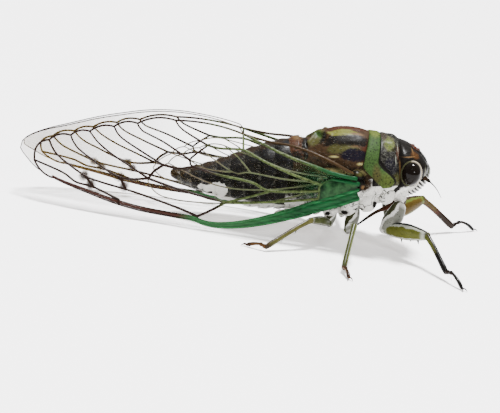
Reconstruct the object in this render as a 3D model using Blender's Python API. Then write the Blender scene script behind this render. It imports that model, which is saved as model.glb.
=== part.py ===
"""Life-size still model of an annual cicada, standing on its six legs with its wings folded like a roof.

Sizes are in millimetres and become metres where vertices are made. A place on the body is (back, out, up):
back from the front of the face, out to the side, up from the level of the face. A place on the floor is
(forward, left, up). The body leans head-up over the floor by BODY_PITCH. Right is -Y and left is +Y.
"""

import math

import bmesh
import bpy
from mathutils import Matrix, Vector, geometry

MM = 0.001
GAP = 0.3                             # kept between touching pieces
SIDES = {"right": -1, "left": 1}

# Stance
BODY_PITCH = math.radians(8.0)
FACE_FORWARD = 21.4                   # front of the face, ahead of the middle of the picture
FACE_HEIGHT = 8.5                     # its height over the floor
FOOTPRINT_MIDDLE = (1.64, -0.40)      # middle of the bounding box on the floor, moved to the origin

# Body
SPLIT_LEVEL = 0.9                     # where the back plates meet the thorax underside
EYE_CENTRE = (3.25, 4.95, 1.95)
EYE_RADII = (1.2, 1.4, 1.45)
FACE_CENTRE = (2.0, 0.0, 0.2)
FACE_RADII = (1.9, 2.2, 3.1)
FACE_TILT = math.radians(27.0)        # the face slopes back towards the beak
FACE_RIDGES = 9
COLLAR_FRONT = 6.6
COLLAR_REAR = 7.9
THORAX_REAR = 17.2
ABDOMEN_RINGS = 8
ABDOMEN_REAR = 30.5
ABDOMEN_SHAPE = (                     # back, top, bottom, half width
    (17.0, 5.2, -3.4, 4.1),
    (20.0, 4.5, -3.5, 4.2),
    (23.0, 3.45, -3.15, 3.9),
    (26.0, 2.35, -2.2, 3.2),
    (29.0, 1.45, -1.05, 2.0),
    (31.0, 1.1, -0.15, 1.2),
)

# Wings: where the roof's ridge and costal edge run, how far out the edge is, and how round the roof is
ROOF_SHAPE = (                        # back, ridge up, edge up, edge out, roundness
    (6.0, 6.4, 0.4, 6.0, 2.6),
    (14.0, 6.5, -1.3, 6.3, 2.9),
    (20.0, 6.5, -2.9, 6.5, 3.1),
    (26.0, 7.5, -4.3, 6.55, 2.3),
    (32.0, 8.3, -3.2, 6.4, 1.3),
    (38.0, 8.0, -1.7, 6.0, 1.0),
    (44.0, 6.6, 0.3, 4.7, 1.0),
    (50.0, 4.2, 3.0, 2.2, 1.0),
)
RIDGE_OUT = 0.8                       # each wing's hind edge stops this far from the middle
WING_THICKNESS = 0.5
VEIN_HEIGHT = 0.15
VEIN_HALF_WIDTH = 0.16
HINDWING_DEPTH = 0.96                 # the hindwing lies this far inside the forewing's outer face


# Shared shapes

def spow(value, power):
    return math.copysign(abs(value) ** power, value)


def along(stations, back, column):
    """Smooth curve through one column of a table of stations, at a distance back."""
    knots = [row[0] for row in stations]
    values = [row[column] for row in stations]
    last = len(knots) - 1

    def slope(i):
        low, high = max(i - 1, 0), min(i + 1, last)
        return (values[high] - values[low]) / (knots[high] - knots[low])

    if back <= knots[0]:
        return values[0] + slope(0) * (back - knots[0])
    if back >= knots[last]:
        return values[last] + slope(last) * (back - knots[last])
    i = max(n for n in range(last) if knots[n] <= back)
    span = knots[i + 1] - knots[i]
    t = (back - knots[i]) / span
    ease = t * t * (3 - 2 * t)
    rise = span * slope(i) * (t ** 3 - 2 * t * t + t) + span * slope(i + 1) * (t ** 3 - t * t)
    return values[i] * (1 - ease) + values[i + 1] * ease + rise


def body_vector(back, out, up):
    return Vector((-back, out, up)) * MM


def stance_matrix():
    place = Vector((FACE_FORWARD - FOOTPRINT_MIDDLE[0], -FOOTPRINT_MIDDLE[1], FACE_HEIGHT)) * MM
    return Matrix.Translation(place) @ Matrix.Rotation(-BODY_PITCH, 4, "Y")


def floor_vector(forward, left, up):
    """A place over the floor, given in the leaning body's own axes."""
    place = Vector((forward - FOOTPRINT_MIDDLE[0], left - FOOTPRINT_MIDDLE[1], up)) * MM
    return stance_matrix().inverted() @ place


def oval(back, half, top, bottom, full=2.0, bow=0.0, sides=22):
    """Whole cross-section of the body; bow carries its sides further back than its middle."""
    ring = []
    for i in range(sides):
        turn = math.tau * (i + 0.5) / sides
        out = half * spow(math.cos(turn), 2 / full)
        up = (top + bottom) / 2 + (top - bottom) / 2 * spow(math.sin(turn), 2 / full)
        ring.append(body_vector(back + bow * (out / 5) ** 2, out, up))
    return ring


def arch(back, half, crown, base, full=2.0, bow=0.0, sides=18, flats=5):
    """Cross-section with a flat base: a back plate over it, or with a lower crown an underside."""
    ring = []
    for i in range(sides + 1):
        turn = math.pi * i / sides
        out = half * spow(math.cos(turn), 2 / full)
        up = base + (crown - base) * math.sin(turn) ** (2 / full) if 0 < i < sides else base
        ring.append(body_vector(back + bow * (out / 5) ** 2, out, up))
    for i in range(1, flats):
        out = half * (2 * i / flats - 1)
        ring.append(body_vector(back + bow * (out / 5) ** 2, out, base))
    return ring


def loft(rings):
    """Closed body through rings that have the same number of points."""
    bm = bmesh.new()
    loops = [[bm.verts.new(point) for point in ring] for ring in rings]
    count = len(loops[0])
    for near, far in zip(loops, loops[1:]):
        for i in range(count):
            j = (i + 1) % count
            bm.faces.new((near[i], near[j], far[j], far[i]))
    bm.faces.new(loops[0])
    bm.faces.new(reversed(loops[-1]))
    return bm


def tube_rings(path, radii, flat, sides):
    rings = []
    for i, point in enumerate(path):
        ahead = path[min(i + 1, len(path) - 1)] - path[max(i - 1, 0)]
        ahead.normalize()
        across = ahead.cross(Vector((0, 0, 1)))
        if across.length < 0.05:
            across = Vector((0, 1, 0))
        across.normalize()
        rise = across.cross(ahead)
        ring = []
        for n in range(sides):
            turn = math.tau * (n + 0.5) / sides
            ring.append(point + radii[i] * (flat * math.cos(turn) * across + math.sin(turn) * rise))
        rings.append(ring)
    return rings


def limb(path, radii, flat=1.0, sides=8, round_start=True, round_end=True):
    """Tapering rod along a path of body vectors, with rounded ends."""
    path = [point.copy() for point in path]
    radii = [radius * MM for radius in radii]
    if round_start:
        ahead = (path[1] - path[0]).normalized()
        path.insert(0, path[0] - ahead * radii[0] * 0.55)
        radii.insert(0, radii[0] * 0.6)
    if round_end:
        ahead = (path[-1] - path[-2]).normalized()
        path.append(path[-1] + ahead * radii[-1] * 0.55)
        radii.append(radii[-1] * 0.6)
    return loft(tube_rings(path, radii, flat, sides))


def ball(centre, radii, tilt=0.0, segments=20, rings=12):
    """Ellipsoid at a place on the body, leaning back by tilt."""
    bm = bmesh.new()
    bmesh.ops.create_uvsphere(bm, u_segments=segments, v_segments=rings, radius=MM)
    size = Matrix.Diagonal(Vector(radii)).to_4x4()
    turn = Matrix.Rotation(tilt, 4, "Y")
    place = Matrix.Translation(body_vector(*centre))
    bmesh.ops.transform(bm, matrix=place @ turn @ size, verts=bm.verts)
    return bm


# Objects and joins

def material(name, colour, roughness, metallic=0.0):
    found = bpy.data.materials.get(name)
    if found:
        return found
    made = bpy.data.materials.new(name)
    made.use_nodes = True
    shader = made.node_tree.nodes["Principled BSDF"]
    shader.inputs["Base Color"].default_value = (*colour, 1.0)
    shader.inputs["Roughness"].default_value = roughness
    shader.inputs["Metallic"].default_value = metallic
    made.diffuse_color = (*colour, 1.0)
    return made


def piece(name, bm, finish):
    """Object on the stance from a mesh, with its faces turned outwards."""
    bmesh.ops.recalc_face_normals(bm, faces=bm.faces)
    mesh = bpy.data.meshes.new(name)
    bm.to_mesh(mesh)
    bm.free()
    obj = bpy.data.objects.new(name, mesh)
    obj.parent = bpy.data.objects["stance"]
    bpy.data.collections["annual_cicada"].objects.link(obj)
    mesh.materials.append(finish)
    mesh.shade_smooth()
    mesh.set_sharp_from_angle(angle=math.radians(38))
    return obj


def keep_largest(mesh):
    """Drops every loose scrap and sealed hollow, so that one closed surface is left."""
    bm = bmesh.new()
    bm.from_mesh(mesh)
    bmesh.ops.remove_doubles(bm, verts=bm.verts, dist=1e-7)
    left = set(bm.faces)
    shells = []
    while left:
        shell = [left.pop()]
        for face in shell:
            for edge in face.edges:
                for other in edge.link_faces:
                    if other in left:
                        left.remove(other)
                        shell.append(other)
        shells.append(shell)
    shells.sort(key=lambda shell: sum(face.calc_area() for face in shell))
    scraps = [face for shell in shells[:-1] for face in shell]
    bmesh.ops.delete(bm, geom=scraps, context="FACES")
    bm.to_mesh(mesh)
    bm.free()


def combine(obj, meshes, operation):
    """One Boolean of an object with several closed meshes, applied, after which they are gone."""
    tools = bpy.data.collections.new("tools")
    bpy.data.collections["cutters"].children.link(tools)
    for mesh in meshes:
        tool = bpy.data.objects.new("tool", mesh)
        tool.parent = obj.parent
        tool.hide_render = True
        tool.display_type = "WIRE"
        tools.objects.link(tool)
    modifier = obj.modifiers.new("combine", "BOOLEAN")
    modifier.operation = operation
    modifier.operand_type = "COLLECTION"
    modifier.collection = tools
    modifier.solver = "EXACT"
    bpy.context.view_layer.update()
    graph = bpy.context.evaluated_depsgraph_get()
    result = bpy.data.meshes.new_from_object(obj.evaluated_get(graph))
    obj.modifiers.clear()
    before = obj.data
    obj.data = result
    bpy.data.meshes.remove(before)
    result.name = obj.name
    for tool in list(tools.objects):
        bpy.data.objects.remove(tool)
    bpy.data.collections.remove(tools)
    for mesh in meshes:
        bpy.data.meshes.remove(mesh)
    keep_largest(result)


def closed_mesh(bm):
    bmesh.ops.recalc_face_normals(bm, faces=bm.faces)
    mesh = bpy.data.meshes.new("tool")
    bm.to_mesh(mesh)
    bm.free()
    return mesh


def fuse(obj, shapes):
    combine(obj, [closed_mesh(bm) for bm in shapes], "UNION")


def grown(obj, gap):
    """Copy of an object's mesh, larger by the gap on every side."""
    bm = bmesh.new()
    bm.from_mesh(obj.data)
    bm.normal_update()
    moves = [(vert, vert.normal * min(vert.calc_shell_factor(), 1.6)) for vert in bm.verts]
    for vert, way in moves:
        vert.co += way * gap * MM
    mesh = bpy.data.meshes.new("tool")
    bm.to_mesh(mesh)
    bm.free()
    return mesh


def seat(obj, *carriers, gap=GAP):
    """Cuts an object's root clear of what it grows from, so that they face each other across the gap."""
    for carrier in carriers:
        combine(obj, [grown(carrier, gap)], "DIFFERENCE")


# Head

def build_head():
    black_green = material("head_black_green", (0.05, 0.06, 0.02), 0.35)
    head = piece("head", loft([
        oval(0.75, 1.8, 2.7, -0.6, bow=0.35),
        oval(1.2, 3.2, 3.3, -1.4, full=2.2, bow=0.35),
        oval(1.8, 4.3, 3.9, -1.9, full=2.4, bow=0.35),
        oval(2.6, 4.9, 4.45, -2.3, full=2.4, bow=0.35),
        oval(3.4, 5.05, 4.9, -2.5, full=2.4, bow=0.35),
        oval(4.0, 4.9, 5.15, -2.5, full=2.3, bow=0.35),
        oval(4.05, 2.6, 3.4, -0.8, bow=0.35),
    ]), black_green)
    ocelli = [ball((1.95, out, up), (0.3, 0.3, 0.25), segments=8, rings=6)
              for out, up in ((0.0, 3.95), (0.8, 4.0), (-0.8, 4.0))]
    fuse(head, ocelli)

    face_bm = ball(FACE_CENTRE, FACE_RADII, FACE_TILT, segments=18, rings=20)
    centre = body_vector(*FACE_CENTRE)
    long_way = Matrix.Rotation(FACE_TILT, 3, "Y") @ Vector((0, 0, 1))
    for vert in face_bm.verts:
        offset = vert.co - centre
        height = offset.dot(long_way)
        across = offset - long_way * height
        wave = math.cos(math.pi * FACE_RIDGES * height / (FACE_RADII[2] * MM))
        vert.co = centre + long_way * height + across * (1 + 0.035 * wave)
    face = piece("postclypeus", face_bm, material("face_black", (0.02, 0.02, 0.02), 0.25))

    for side_name, side in SIDES.items():
        centre = (EYE_CENTRE[0], side * EYE_CENTRE[1], EYE_CENTRE[2])
        eye = piece(f"eye_{side_name}", ball(centre, EYE_RADII, segments=18, rings=12),
                    material("eye_black", (0.015, 0.012, 0.01), 0.08))
        seat(head, eye)
    seat(head, face)

    beak = piece("rostrum", limb(
        [body_vector(3.6, 0, -2.6), body_vector(5.0, 0, -3.3), body_vector(6.8, 0, -4.1), body_vector(8.8, 0, -5.6)],
        [0.75, 0.65, 0.42, 0.26], flat=0.8), material("beak_brown", (0.12, 0.06, 0.02), 0.4))
    seat(beak, face, head)

    for side_name, side in SIDES.items():
        antenna = piece(f"antenna_{side_name}", limb(
            [body_vector(1.5, side * 2.55, 0.9), body_vector(0.9, side * 3.0, 0.7),
             body_vector(0.2, side * 3.5, 0.1), body_vector(-0.5, side * 4.2, -1.1)],
            [0.36, 0.32, 0.26, 0.14]), material("antenna_black", (0.02, 0.015, 0.01), 0.35))
        seat(antenna, head, face)


# Thorax

def build_thorax():
    green_black = material("pronotum_green_black", (0.09, 0.11, 0.03), 0.4)
    green = material("collar_green", (0.16, 0.27, 0.05), 0.4)
    olive = material("mesonotum_brown", (0.14, 0.09, 0.03), 0.3)
    white = material("underside_white", (0.62, 0.62, 0.56), 0.8)
    floor = SPLIT_LEVEL + GAP / 2
    ceiling = SPLIT_LEVEL - GAP / 2

    piece("pronotum", loft([
        arch(4.35, 3.6, 4.3, floor, bow=0.35),
        arch(4.36, 5.0, 5.25, floor, bow=0.35),
        arch(4.9, 5.15, 5.6, floor, bow=0.4),
        arch(5.6, 5.3, 5.75, floor, bow=0.5),
        arch(COLLAR_FRONT - GAP, 5.45, 5.85, floor, bow=0.6),
    ]), green_black)
    underside = piece("thorax_underside", loft([
        arch(4.75, 4.7, -1.7, ceiling),
        arch(6.3, 5.0, -2.5, ceiling),
        arch(8.0, 5.05, -3.0, ceiling),
        arch(9.5, 5.0, -3.7, ceiling),
        arch(11.5, 4.9, -3.95, ceiling),
        arch(13.5, 4.6, -3.75, ceiling),
        arch(15.5, 4.3, -3.5, ceiling),
        arch(THORAX_REAR, 4.2, -3.4, ceiling),
    ]), white)
    seat(underside, bpy.data.objects["head"])

    collar = piece("pronotal_collar", loft([
        arch(COLLAR_FRONT, 5.5, 5.85, floor, bow=0.6),
        arch(COLLAR_FRONT + 0.3, 6.0, 6.05, floor, bow=0.7),
        arch(7.3, 6.25, 6.15, floor, bow=0.8),
        arch(COLLAR_REAR - 0.1, 6.2, 6.1, floor, bow=0.9),
        arch(COLLAR_REAR, 5.7, 5.9, floor, bow=0.9),
    ]), green)
    fuse(collar, [ball((7.0, side * 5.6, 1.2), (1.75, 0.7, 1.2), tilt=0.3, segments=14, rings=8)
                  for side in SIDES.values()])
    seat(collar, bpy.data.objects["pronotum"], underside)

    mesonotum = piece("mesonotum", loft([
        arch(COLLAR_REAR + GAP, 4.85, 6.2, floor, bow=0.9),
        arch(9.4, 4.9, 6.5, floor, bow=0.8),
        arch(10.8, 4.85, 6.62, floor, bow=0.4),
        arch(12.2, 4.65, 6.5, floor),
        arch(13.5, 4.35, 6.05, floor),
        arch(14.6, 4.1, 5.55, floor, full=1.9),
        arch(15.3, 4.0, 5.2, floor, full=1.9),
    ]), olive)
    arms = [limb([body_vector(14.2, 0, 5.75), body_vector(back, out, up)], [0.55, 0.42], sides=8)
            for back, out, up in ((13.0, 1.7, 5.75), (13.0, -1.7, 5.75), (15.0, 1.7, 4.95), (15.0, -1.7, 4.95))]
    fuse(mesonotum, arms)

    piece("metanotum", loft([
        arch(15.3 + GAP, 3.95, 5.25, floor, full=1.9),
        arch(16.3, 3.95, 5.5, floor, full=1.8),
        arch(THORAX_REAR, 3.95, 5.3, floor, full=1.8),
    ]), material("metanotum_brown", (0.16, 0.06, 0.03), 0.4))

    for side_name, side in SIDES.items():
        plate = piece(f"operculum_{side_name}", ball((16.9, side * 2.1, -3.75), (2.3, 1.6, 0.45), segments=16,
                                                     rings=8), white)
        seat(plate, underside)


# Abdomen

def build_abdomen():
    black = material("abdomen_black", (0.03, 0.03, 0.03), 0.45)
    rings = []
    length = ABDOMEN_REAR - (THORAX_REAR + GAP)
    for n in range(ABDOMEN_RINGS):
        start = THORAX_REAR + GAP + length * (1 - (1 - n / ABDOMEN_RINGS) ** 1.15)
        end = THORAX_REAR + GAP + length * (1 - (1 - (n + 1) / ABDOMEN_RINGS) ** 1.15)
        for back, swell in ((start, -0.1), (start + (end - start) * 0.75, 0.06), (end - 0.06, -0.02)):
            top, bottom, half = (along(ABDOMEN_SHAPE, back, column) for column in (1, 2, 3))
            rings.append(oval(back, half + swell, top + swell, bottom - swell, full=1.85))
    piece("abdomen", loft(rings), black)
    top, bottom, half = (along(ABDOMEN_SHAPE, ABDOMEN_REAR, column) for column in (1, 2, 3))
    piece("abdomen_tip", loft([
        oval(ABDOMEN_REAR + GAP, half - 0.12, top - 0.1, bottom + 0.1, sides=16),
        oval(31.2, 0.9, 1.15, -0.1, sides=16),
        oval(31.8, 0.45, 1.1, 0.25, sides=16),
    ]), black)


# Wings

def roof_out(back, up):
    """How far out the roof of the wings is at a place in side view."""
    ridge, edge, out, roundness = (along(ROOF_SHAPE, back, column) for column in (1, 2, 3, 4))
    down = (ridge - up) / (ridge - edge)
    return RIDGE_OUT + (out - RIDGE_OUT) * (1 - spow(1 - down, max(roundness, 1.0)))


def roof_point(back, up, depth):
    """Place on the roof, taken inwards along its normal by a depth."""
    step = 0.05
    point = Vector((back, roof_out(back, up), up))
    lengthwise = Vector((step, roof_out(back + step, up) - point.y, 0))
    upwards = Vector((0, roof_out(back, up + step) - point.y, step))
    normal = upwards.cross(lengthwise).normalized()
    if normal.y < 0:
        normal.negate()
    return point - normal * depth


def bowed(start, end, sag, count=3):
    """Points of a shallow arc between two places in side view, sagging to the upper side of start to end."""
    start, end = Vector(start), Vector(end)
    across = Vector((start.y - end.y, end.x - start.x)).normalized()
    points = []
    for i in range(1, count + 1):
        t = i / (count + 1)
        points.append(tuple(start.lerp(end, t) + across * sag * 4 * t * (1 - t)))
    return points


FOREWING_PLACES = {                   # back and up, in side view
    "root": (9.6, 0.9),
    "anal_root": (9.9, 1.5),
    "claval_root": (10.3, 2.1),
    "costa_root": (9.6, -0.2),
    "cell_top": (12.6, 1.4),
    "cell_cubital": (14.0, 0.75),
    "cell_median": (14.1, 0.05),
    "cell_radial": (14.2, -0.65),
    "claval_end": (23.0, 6.0),
    "cubital_bend": (23.0, 4.4),
    "joint": (25.0, -1.4),
    "node": (28.3, -3.1),
    "median_fork": (19.7, 0.0),
    "median_upper": (28.8, 2.4),
    "cubital_cross": (29.3, 3.2),
    "cubital_fork": (27.2, 4.8),
    "median_third": (32.4, 2.5),
    "median_low": (34.1, 1.0),
    "second_spot_top": (37.5, 1.1),
    "second_spot_foot": (36.7, -0.2),
    "first_spot_top": (41.6, 1.2),
    "first_spot_foot": (40.5, 0.0),
    "radial_fork": (37.5, -1.3),
    "margin_1": (31.1, 7.4),
    "margin_2": (35.6, 7.0),
    "margin_3": (38.4, 6.6),
    "margin_4": (41.3, 6.0),
    "margin_5": (43.6, 5.5),
    "margin_6": (46.2, 4.9),
    "margin_7": (47.8, 2.7),
    "costa_end": (45.5, 0.9),
}
FOREWING_VEINS = (                    # names of places, with plain points where a vein bends between them
    ("anal_root", (12.6, 2.1), (14.6, 2.8), (18.2, 4.0), (20.6, 5.0), "claval_end"),
    ("cell_top", "cell_cubital", "cell_median", "cell_radial"),
    ("root", "cell_top"),
    ("cell_cubital", (18.2, 2.3), (21.0, 3.5), "cubital_bend", (25.6, 4.5), "cubital_fork"),
    ("cubital_bend", "claval_end"),
    ("cubital_fork", (30.2, 6.4), "margin_1"),
    ("cubital_fork", "cubital_cross", "median_upper"),
    ("cubital_cross", (32.4, 5.0), (35.0, 6.2), "margin_2"),
    ("cell_median", "median_fork", (22.1, 1.0), (26.0, 1.7), "median_upper", (30.5, 2.2), "median_third"),
    ("median_fork", (23.0, -0.9), "joint"),
    ("median_third", (35.3, 4.1), (37.6, 5.5), "margin_3"),
    ("median_third", (33.5, 1.8), "median_low"),
    ("median_low", (36.3, 2.3), (38.4, 3.5), (40.2, 4.8), "margin_4"),
    ("median_low", "second_spot_top", (41.4, 3.3), (42.9, 4.4), "margin_5"),
    ("joint", (30.4, -0.1), "median_low"),
    ("cell_radial", (19.8, -1.3), "joint"),
    ("joint", (26.6, -2.3), "node"),
    ("node", (30.4, -2.2), (34.0, -1.0), "second_spot_foot", (39.5, 0.5), "first_spot_top", (44.6, 3.0),
     (45.6, 3.9), "margin_6"),
    ("second_spot_top", "second_spot_foot"),
    ("first_spot_top", "first_spot_foot"),
    ("radial_fork", "first_spot_foot", (42.6, 0.5), (44.3, 1.5), "margin_7"),
)
FOREWING_MARGIN = (                   # the vein round the cells, a scallop between one place and the next
    ("claval_end", "margin_1", 0.35),
    ("margin_1", "margin_2", 0.45),
    ("margin_2", "margin_3", 0.35),
    ("margin_3", "margin_4", 0.35),
    ("margin_4", "margin_5", 0.3),
    ("margin_5", "margin_6", 0.35),
    ("margin_6", "margin_7", 0.75),
    ("margin_7", "costa_end", 0.3),
)
FOREWING_COSTA = ("costa_root", (14.2, -1.4), (19.8, -2.8), (25.0, -4.2), (27.1, -4.2), (28.9, -3.5),
                  (31.3, -3.2), (34.9, -2.55), (38.4, -1.6), (41.2, -0.65), (44.0, 0.3), "costa_end")
FOREWING_EDGE = ((47.5, 1.9), (48.8, 3.0), (49.7, 3.9), (49.6, 4.6), (48.6, 5.3), (46.6, 6.0), (44.0, 6.6),
                 (40.6, 7.4), (37.6, 7.9), (34.4, 8.3), (31.0, 8.3), (28.0, 7.9), (25.4, 7.3), (23.4, 6.6))
CLAVAL_EDGE = ("claval_end", (21.5, 5.6), (19.6, 5.2), (17.3, 4.9), (15.1, 4.3), (12.6, 3.3), "claval_root")

HINDWING_PLACES = {
    "root": (13.2, 1.0),
    "anal_root": (13.2, 1.7),
    "costa_root": (13.2, 0.2),
    "cross_low": (22.2, 2.3),
    "cross_high": (24.3, 2.3),
    "margin_1": (25.3, 5.3),
    "margin_2": (28.3, 4.9),
    "margin_3": (30.4, 4.0),
    "margin_4": (32.0, 3.0),
    "tip": (34.3, 1.0),
    "costa_end": (32.4, -0.8),
}
HINDWING_VEINS = (
    ("root", (17.4, 1.4), "cross_low", "cross_high", "margin_2"),
    ("cross_low", (23.6, 4.0), "margin_1"),
    ("cross_high", (27.6, 2.6), "margin_3"),
    ("root", (20.0, 0.1), (26.0, 0.6), "margin_4"),
    ("anal_root", (17.4, 2.6), (20.6, 3.8), "margin_1"),
)
HINDWING_MARGIN = (
    ("margin_1", "margin_2", 0.3),
    ("margin_2", "margin_3", 0.25),
    ("margin_3", "margin_4", 0.25),
    ("margin_4", "tip", 0.3),
    ("tip", "costa_end", 0.3),
)


def line_of(places, steps):
    return [places[step] if isinstance(step, str) else step for step in steps]


def margin_line(places, stretches):
    points = []
    for start, end, sag in stretches:
        points.append(places[start])
        points.extend(bowed(places[end], places[start], -sag)[::-1])
    points.append(places[stretches[-1][1]])
    return points


def veined_sheet(outline, lines, levels, depth, side):
    """Membrane on the roof with its veins raised in its outer face, both faces split alike."""
    points, edges = [], []
    for line, closed in [(outline, True)] + [(line, False) for line in lines]:
        first = len(points)
        points.extend(Vector(point) for point in line)
        edges.extend((first + i, first + i + 1) for i in range(len(line) - 1))
        if closed:
            edges.append((first + len(line) - 1, first))
    flat = geometry.delaunay_2d_cdt(points, edges, [], 1, 1e-4)
    bm = bmesh.new()
    verts = [bm.verts.new((place.x, 0, place.y)) for place in flat[0]]
    for face in flat[2]:
        bm.faces.new([verts[i] for i in face])
    drawn = {frozenset(edge) for edge, origin in zip(flat[1], flat[4]) if origin}
    bm.verts.index_update()
    spare = [edge for edge in bm.edges if frozenset(v.index for v in edge.verts) not in drawn]
    bmesh.ops.dissolve_edges(bm, edges=spare, use_verts=False)
    rim = {vert for edge in bm.edges if edge.is_boundary for vert in edge.verts}
    costal = {tuple(round(n, 4) for n in point) for point in outline if point in lines[0]}
    for vert in bm.verts:
        on_costa = (round(vert.co.x, 4), round(vert.co.z, 4)) in costal
        vert.co.y = VEIN_HEIGHT if vert not in rim or on_costa else 0
    cells = bm.faces[:]
    bmesh.ops.inset_individual(bm, faces=cells, thickness=VEIN_HALF_WIDTH, use_even_offset=False)
    for face in cells:
        for vert in face.verts:
            vert.co.y = 0
    for level in levels:
        bmesh.ops.bisect_plane(bm, geom=bm.verts[:] + bm.edges[:] + bm.faces[:], plane_co=(0, 0, level),
                               plane_no=(0, 0, 1), dist=0.02)
    bmesh.ops.triangulate(bm, faces=bm.faces)

    outer, inner = {}, {}
    solid = bmesh.new()
    for vert in bm.verts:
        for store, deep in ((outer, depth - vert.co.y), (inner, depth + WING_THICKNESS)):
            back, out, up = roof_point(vert.co.x, vert.co.z, deep)
            store[vert] = solid.verts.new(body_vector(back, side * out, up))
    for face in bm.faces:
        solid.faces.new([outer[vert] for vert in face.verts])
        solid.faces.new([inner[vert] for vert in reversed(face.verts)])
    for edge in bm.edges:
        if edge.is_boundary:
            start, end = edge.verts
            solid.faces.new((outer[start], inner[start], inner[end]))
            solid.faces.new((outer[start], inner[end], outer[end]))
    bm.free()
    return solid


def build_wings():
    green = material("wing_green", (0.07, 0.22, 0.1), 0.35)
    pale = material("hindwing_pale", (0.35, 0.4, 0.2), 0.35)
    underside = bpy.data.objects["thorax_underside"]
    mesonotum = bpy.data.objects["mesonotum"]
    for side_name, side in SIDES.items():
        places = FOREWING_PLACES
        costa = line_of(places, FOREWING_COSTA)
        claval = line_of(places, CLAVAL_EDGE)
        outline = costa + list(FOREWING_EDGE) + claval + [places["anal_root"], places["root"]]
        lines = [costa, margin_line(places, FOREWING_MARGIN)]
        lines += [line_of(places, steps) for steps in FOREWING_VEINS]
        lines.append([places["radial_fork"], (37.5, -1.86)])
        lines.append([places["node"], (28.4, -3.7)])
        wing = piece(f"forewing_{side_name}", veined_sheet(outline, lines, (2.4, 4.2, 5.8), 0.0, side), green)
        root = limb([body_vector(9.5, side * 4.3, 0.9), body_vector(10.1, side * 5.75, 0.9)], [0.95, 0.85], sides=12)
        fuse(wing, [root])
        seat(wing, mesonotum, underside, bpy.data.objects["pronotal_collar"])

        places = HINDWING_PLACES
        margin = margin_line(places, HINDWING_MARGIN)
        costa = [places["costa_root"], (20.0, -1.5), (26.0, -1.6), (30.0, -1.3), places["costa_end"]]
        anal = [places["margin_1"], (23.4, 5.0), (20.6, 4.2), (17.4, 3.3), (15.0, 2.4), places["anal_root"]]
        outline = costa + margin[::-1][1:] + anal[1:] + [places["root"]]
        lines = [costa] + [line_of(places, steps) for steps in HINDWING_VEINS]
        wing = piece(f"hindwing_{side_name}", veined_sheet(outline, lines, (2.4, 3.6), HINDWING_DEPTH, side), pale)
        root = limb([body_vector(13.4, side * 4.0, 1.0), body_vector(14.0, side * 4.95, 1.0)], [0.6, 0.5], sides=10)
        fuse(wing, [root])
        seat(wing, mesonotum, underside)


# Legs

# Floor places (forward, left, up) of the ends of each leg's segments, from the hip to the foot
LEGS = {
    "front_right": ((17.4, -2.9, 5.4), (16.1, -3.8, 2.6), (20.4, -8.2, 3.65), (22.3, -12.7, 1.0), (23.7, -15.6, 0.2)),
    "front_left": ((17.5, 2.9, 5.4), (17.6, 3.6, 2.6), (22.5, 7.0, 4.8), (27.9, 10.1, 0.8), (30.9, 12.5, 0.2)),
    "middle_right": ((12.2, -2.6, 4.4), (11.8, -3.9, 1.9), (11.6, -10.0, 4.0), (10.5, -15.5, 0.6), (10.9, -17.6, 0.2)),
    "middle_left": ((12.2, 2.6, 4.4), (11.8, 3.9, 1.9), (11.9, 9.6, 4.1), (10.9, 14.7, 0.6), (11.4, 16.8, 0.2)),
    "hind_right": ((9.2, -2.4, 4.2), (9.6, -3.3, 2.3), (6.0, -7.5, 3.0), (2.0, -11.5, 0.5), (-0.1, -10.8, 0.2)),
    "hind_left": ((9.2, 2.4, 4.2), (9.6, 3.3, 2.3), (6.3, 7.4, 3.1), (2.4, 11.3, 0.5), (0.3, 11.0, 0.2)),
}
SEGMENT_RADII = {                     # radii from end to end of coxa, femur and tibia
    "front": ((0.95, 1.0, 0.75), (0.65, 0.85, 0.6), (0.34, 0.28, 0.3)),
    "middle": ((0.9, 0.9, 0.65), (0.5, 0.6, 0.45), (0.32, 0.27, 0.28)),
    "hind": ((0.9, 0.85, 0.6), (0.5, 0.58, 0.42), (0.32, 0.27, 0.28)),
}
TARSUS_RADIUS = 0.26
CLAW_LENGTH = 0.75


def spine(base, tip, radius):
    return limb([base, base.lerp(tip, 0.55), tip], [radius, radius * 0.6, 0.05], sides=6, round_start=False,
                round_end=False)


def foot_shape(ankle, toe):
    """Rod that comes down from the ankle and lies along the floor, cut flat at floor level."""
    sole = ankle.lerp(toe, 0.55)
    sole.z = toe.z
    path = [ankle, ankle.lerp(sole, 0.6), sole, sole.lerp(toe, 0.5), toe]
    path = [floor_vector(*point) for point in path]
    bm = limb(path, [0.3, 0.24, TARSUS_RADIUS, 0.23, TARSUS_RADIUS])
    to_floor = stance_matrix()
    for vert in bm.verts:
        place = to_floor @ vert.co
        place.z = max(place.z, 0.0)
        vert.co = to_floor.inverted() @ place
    return bm


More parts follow.
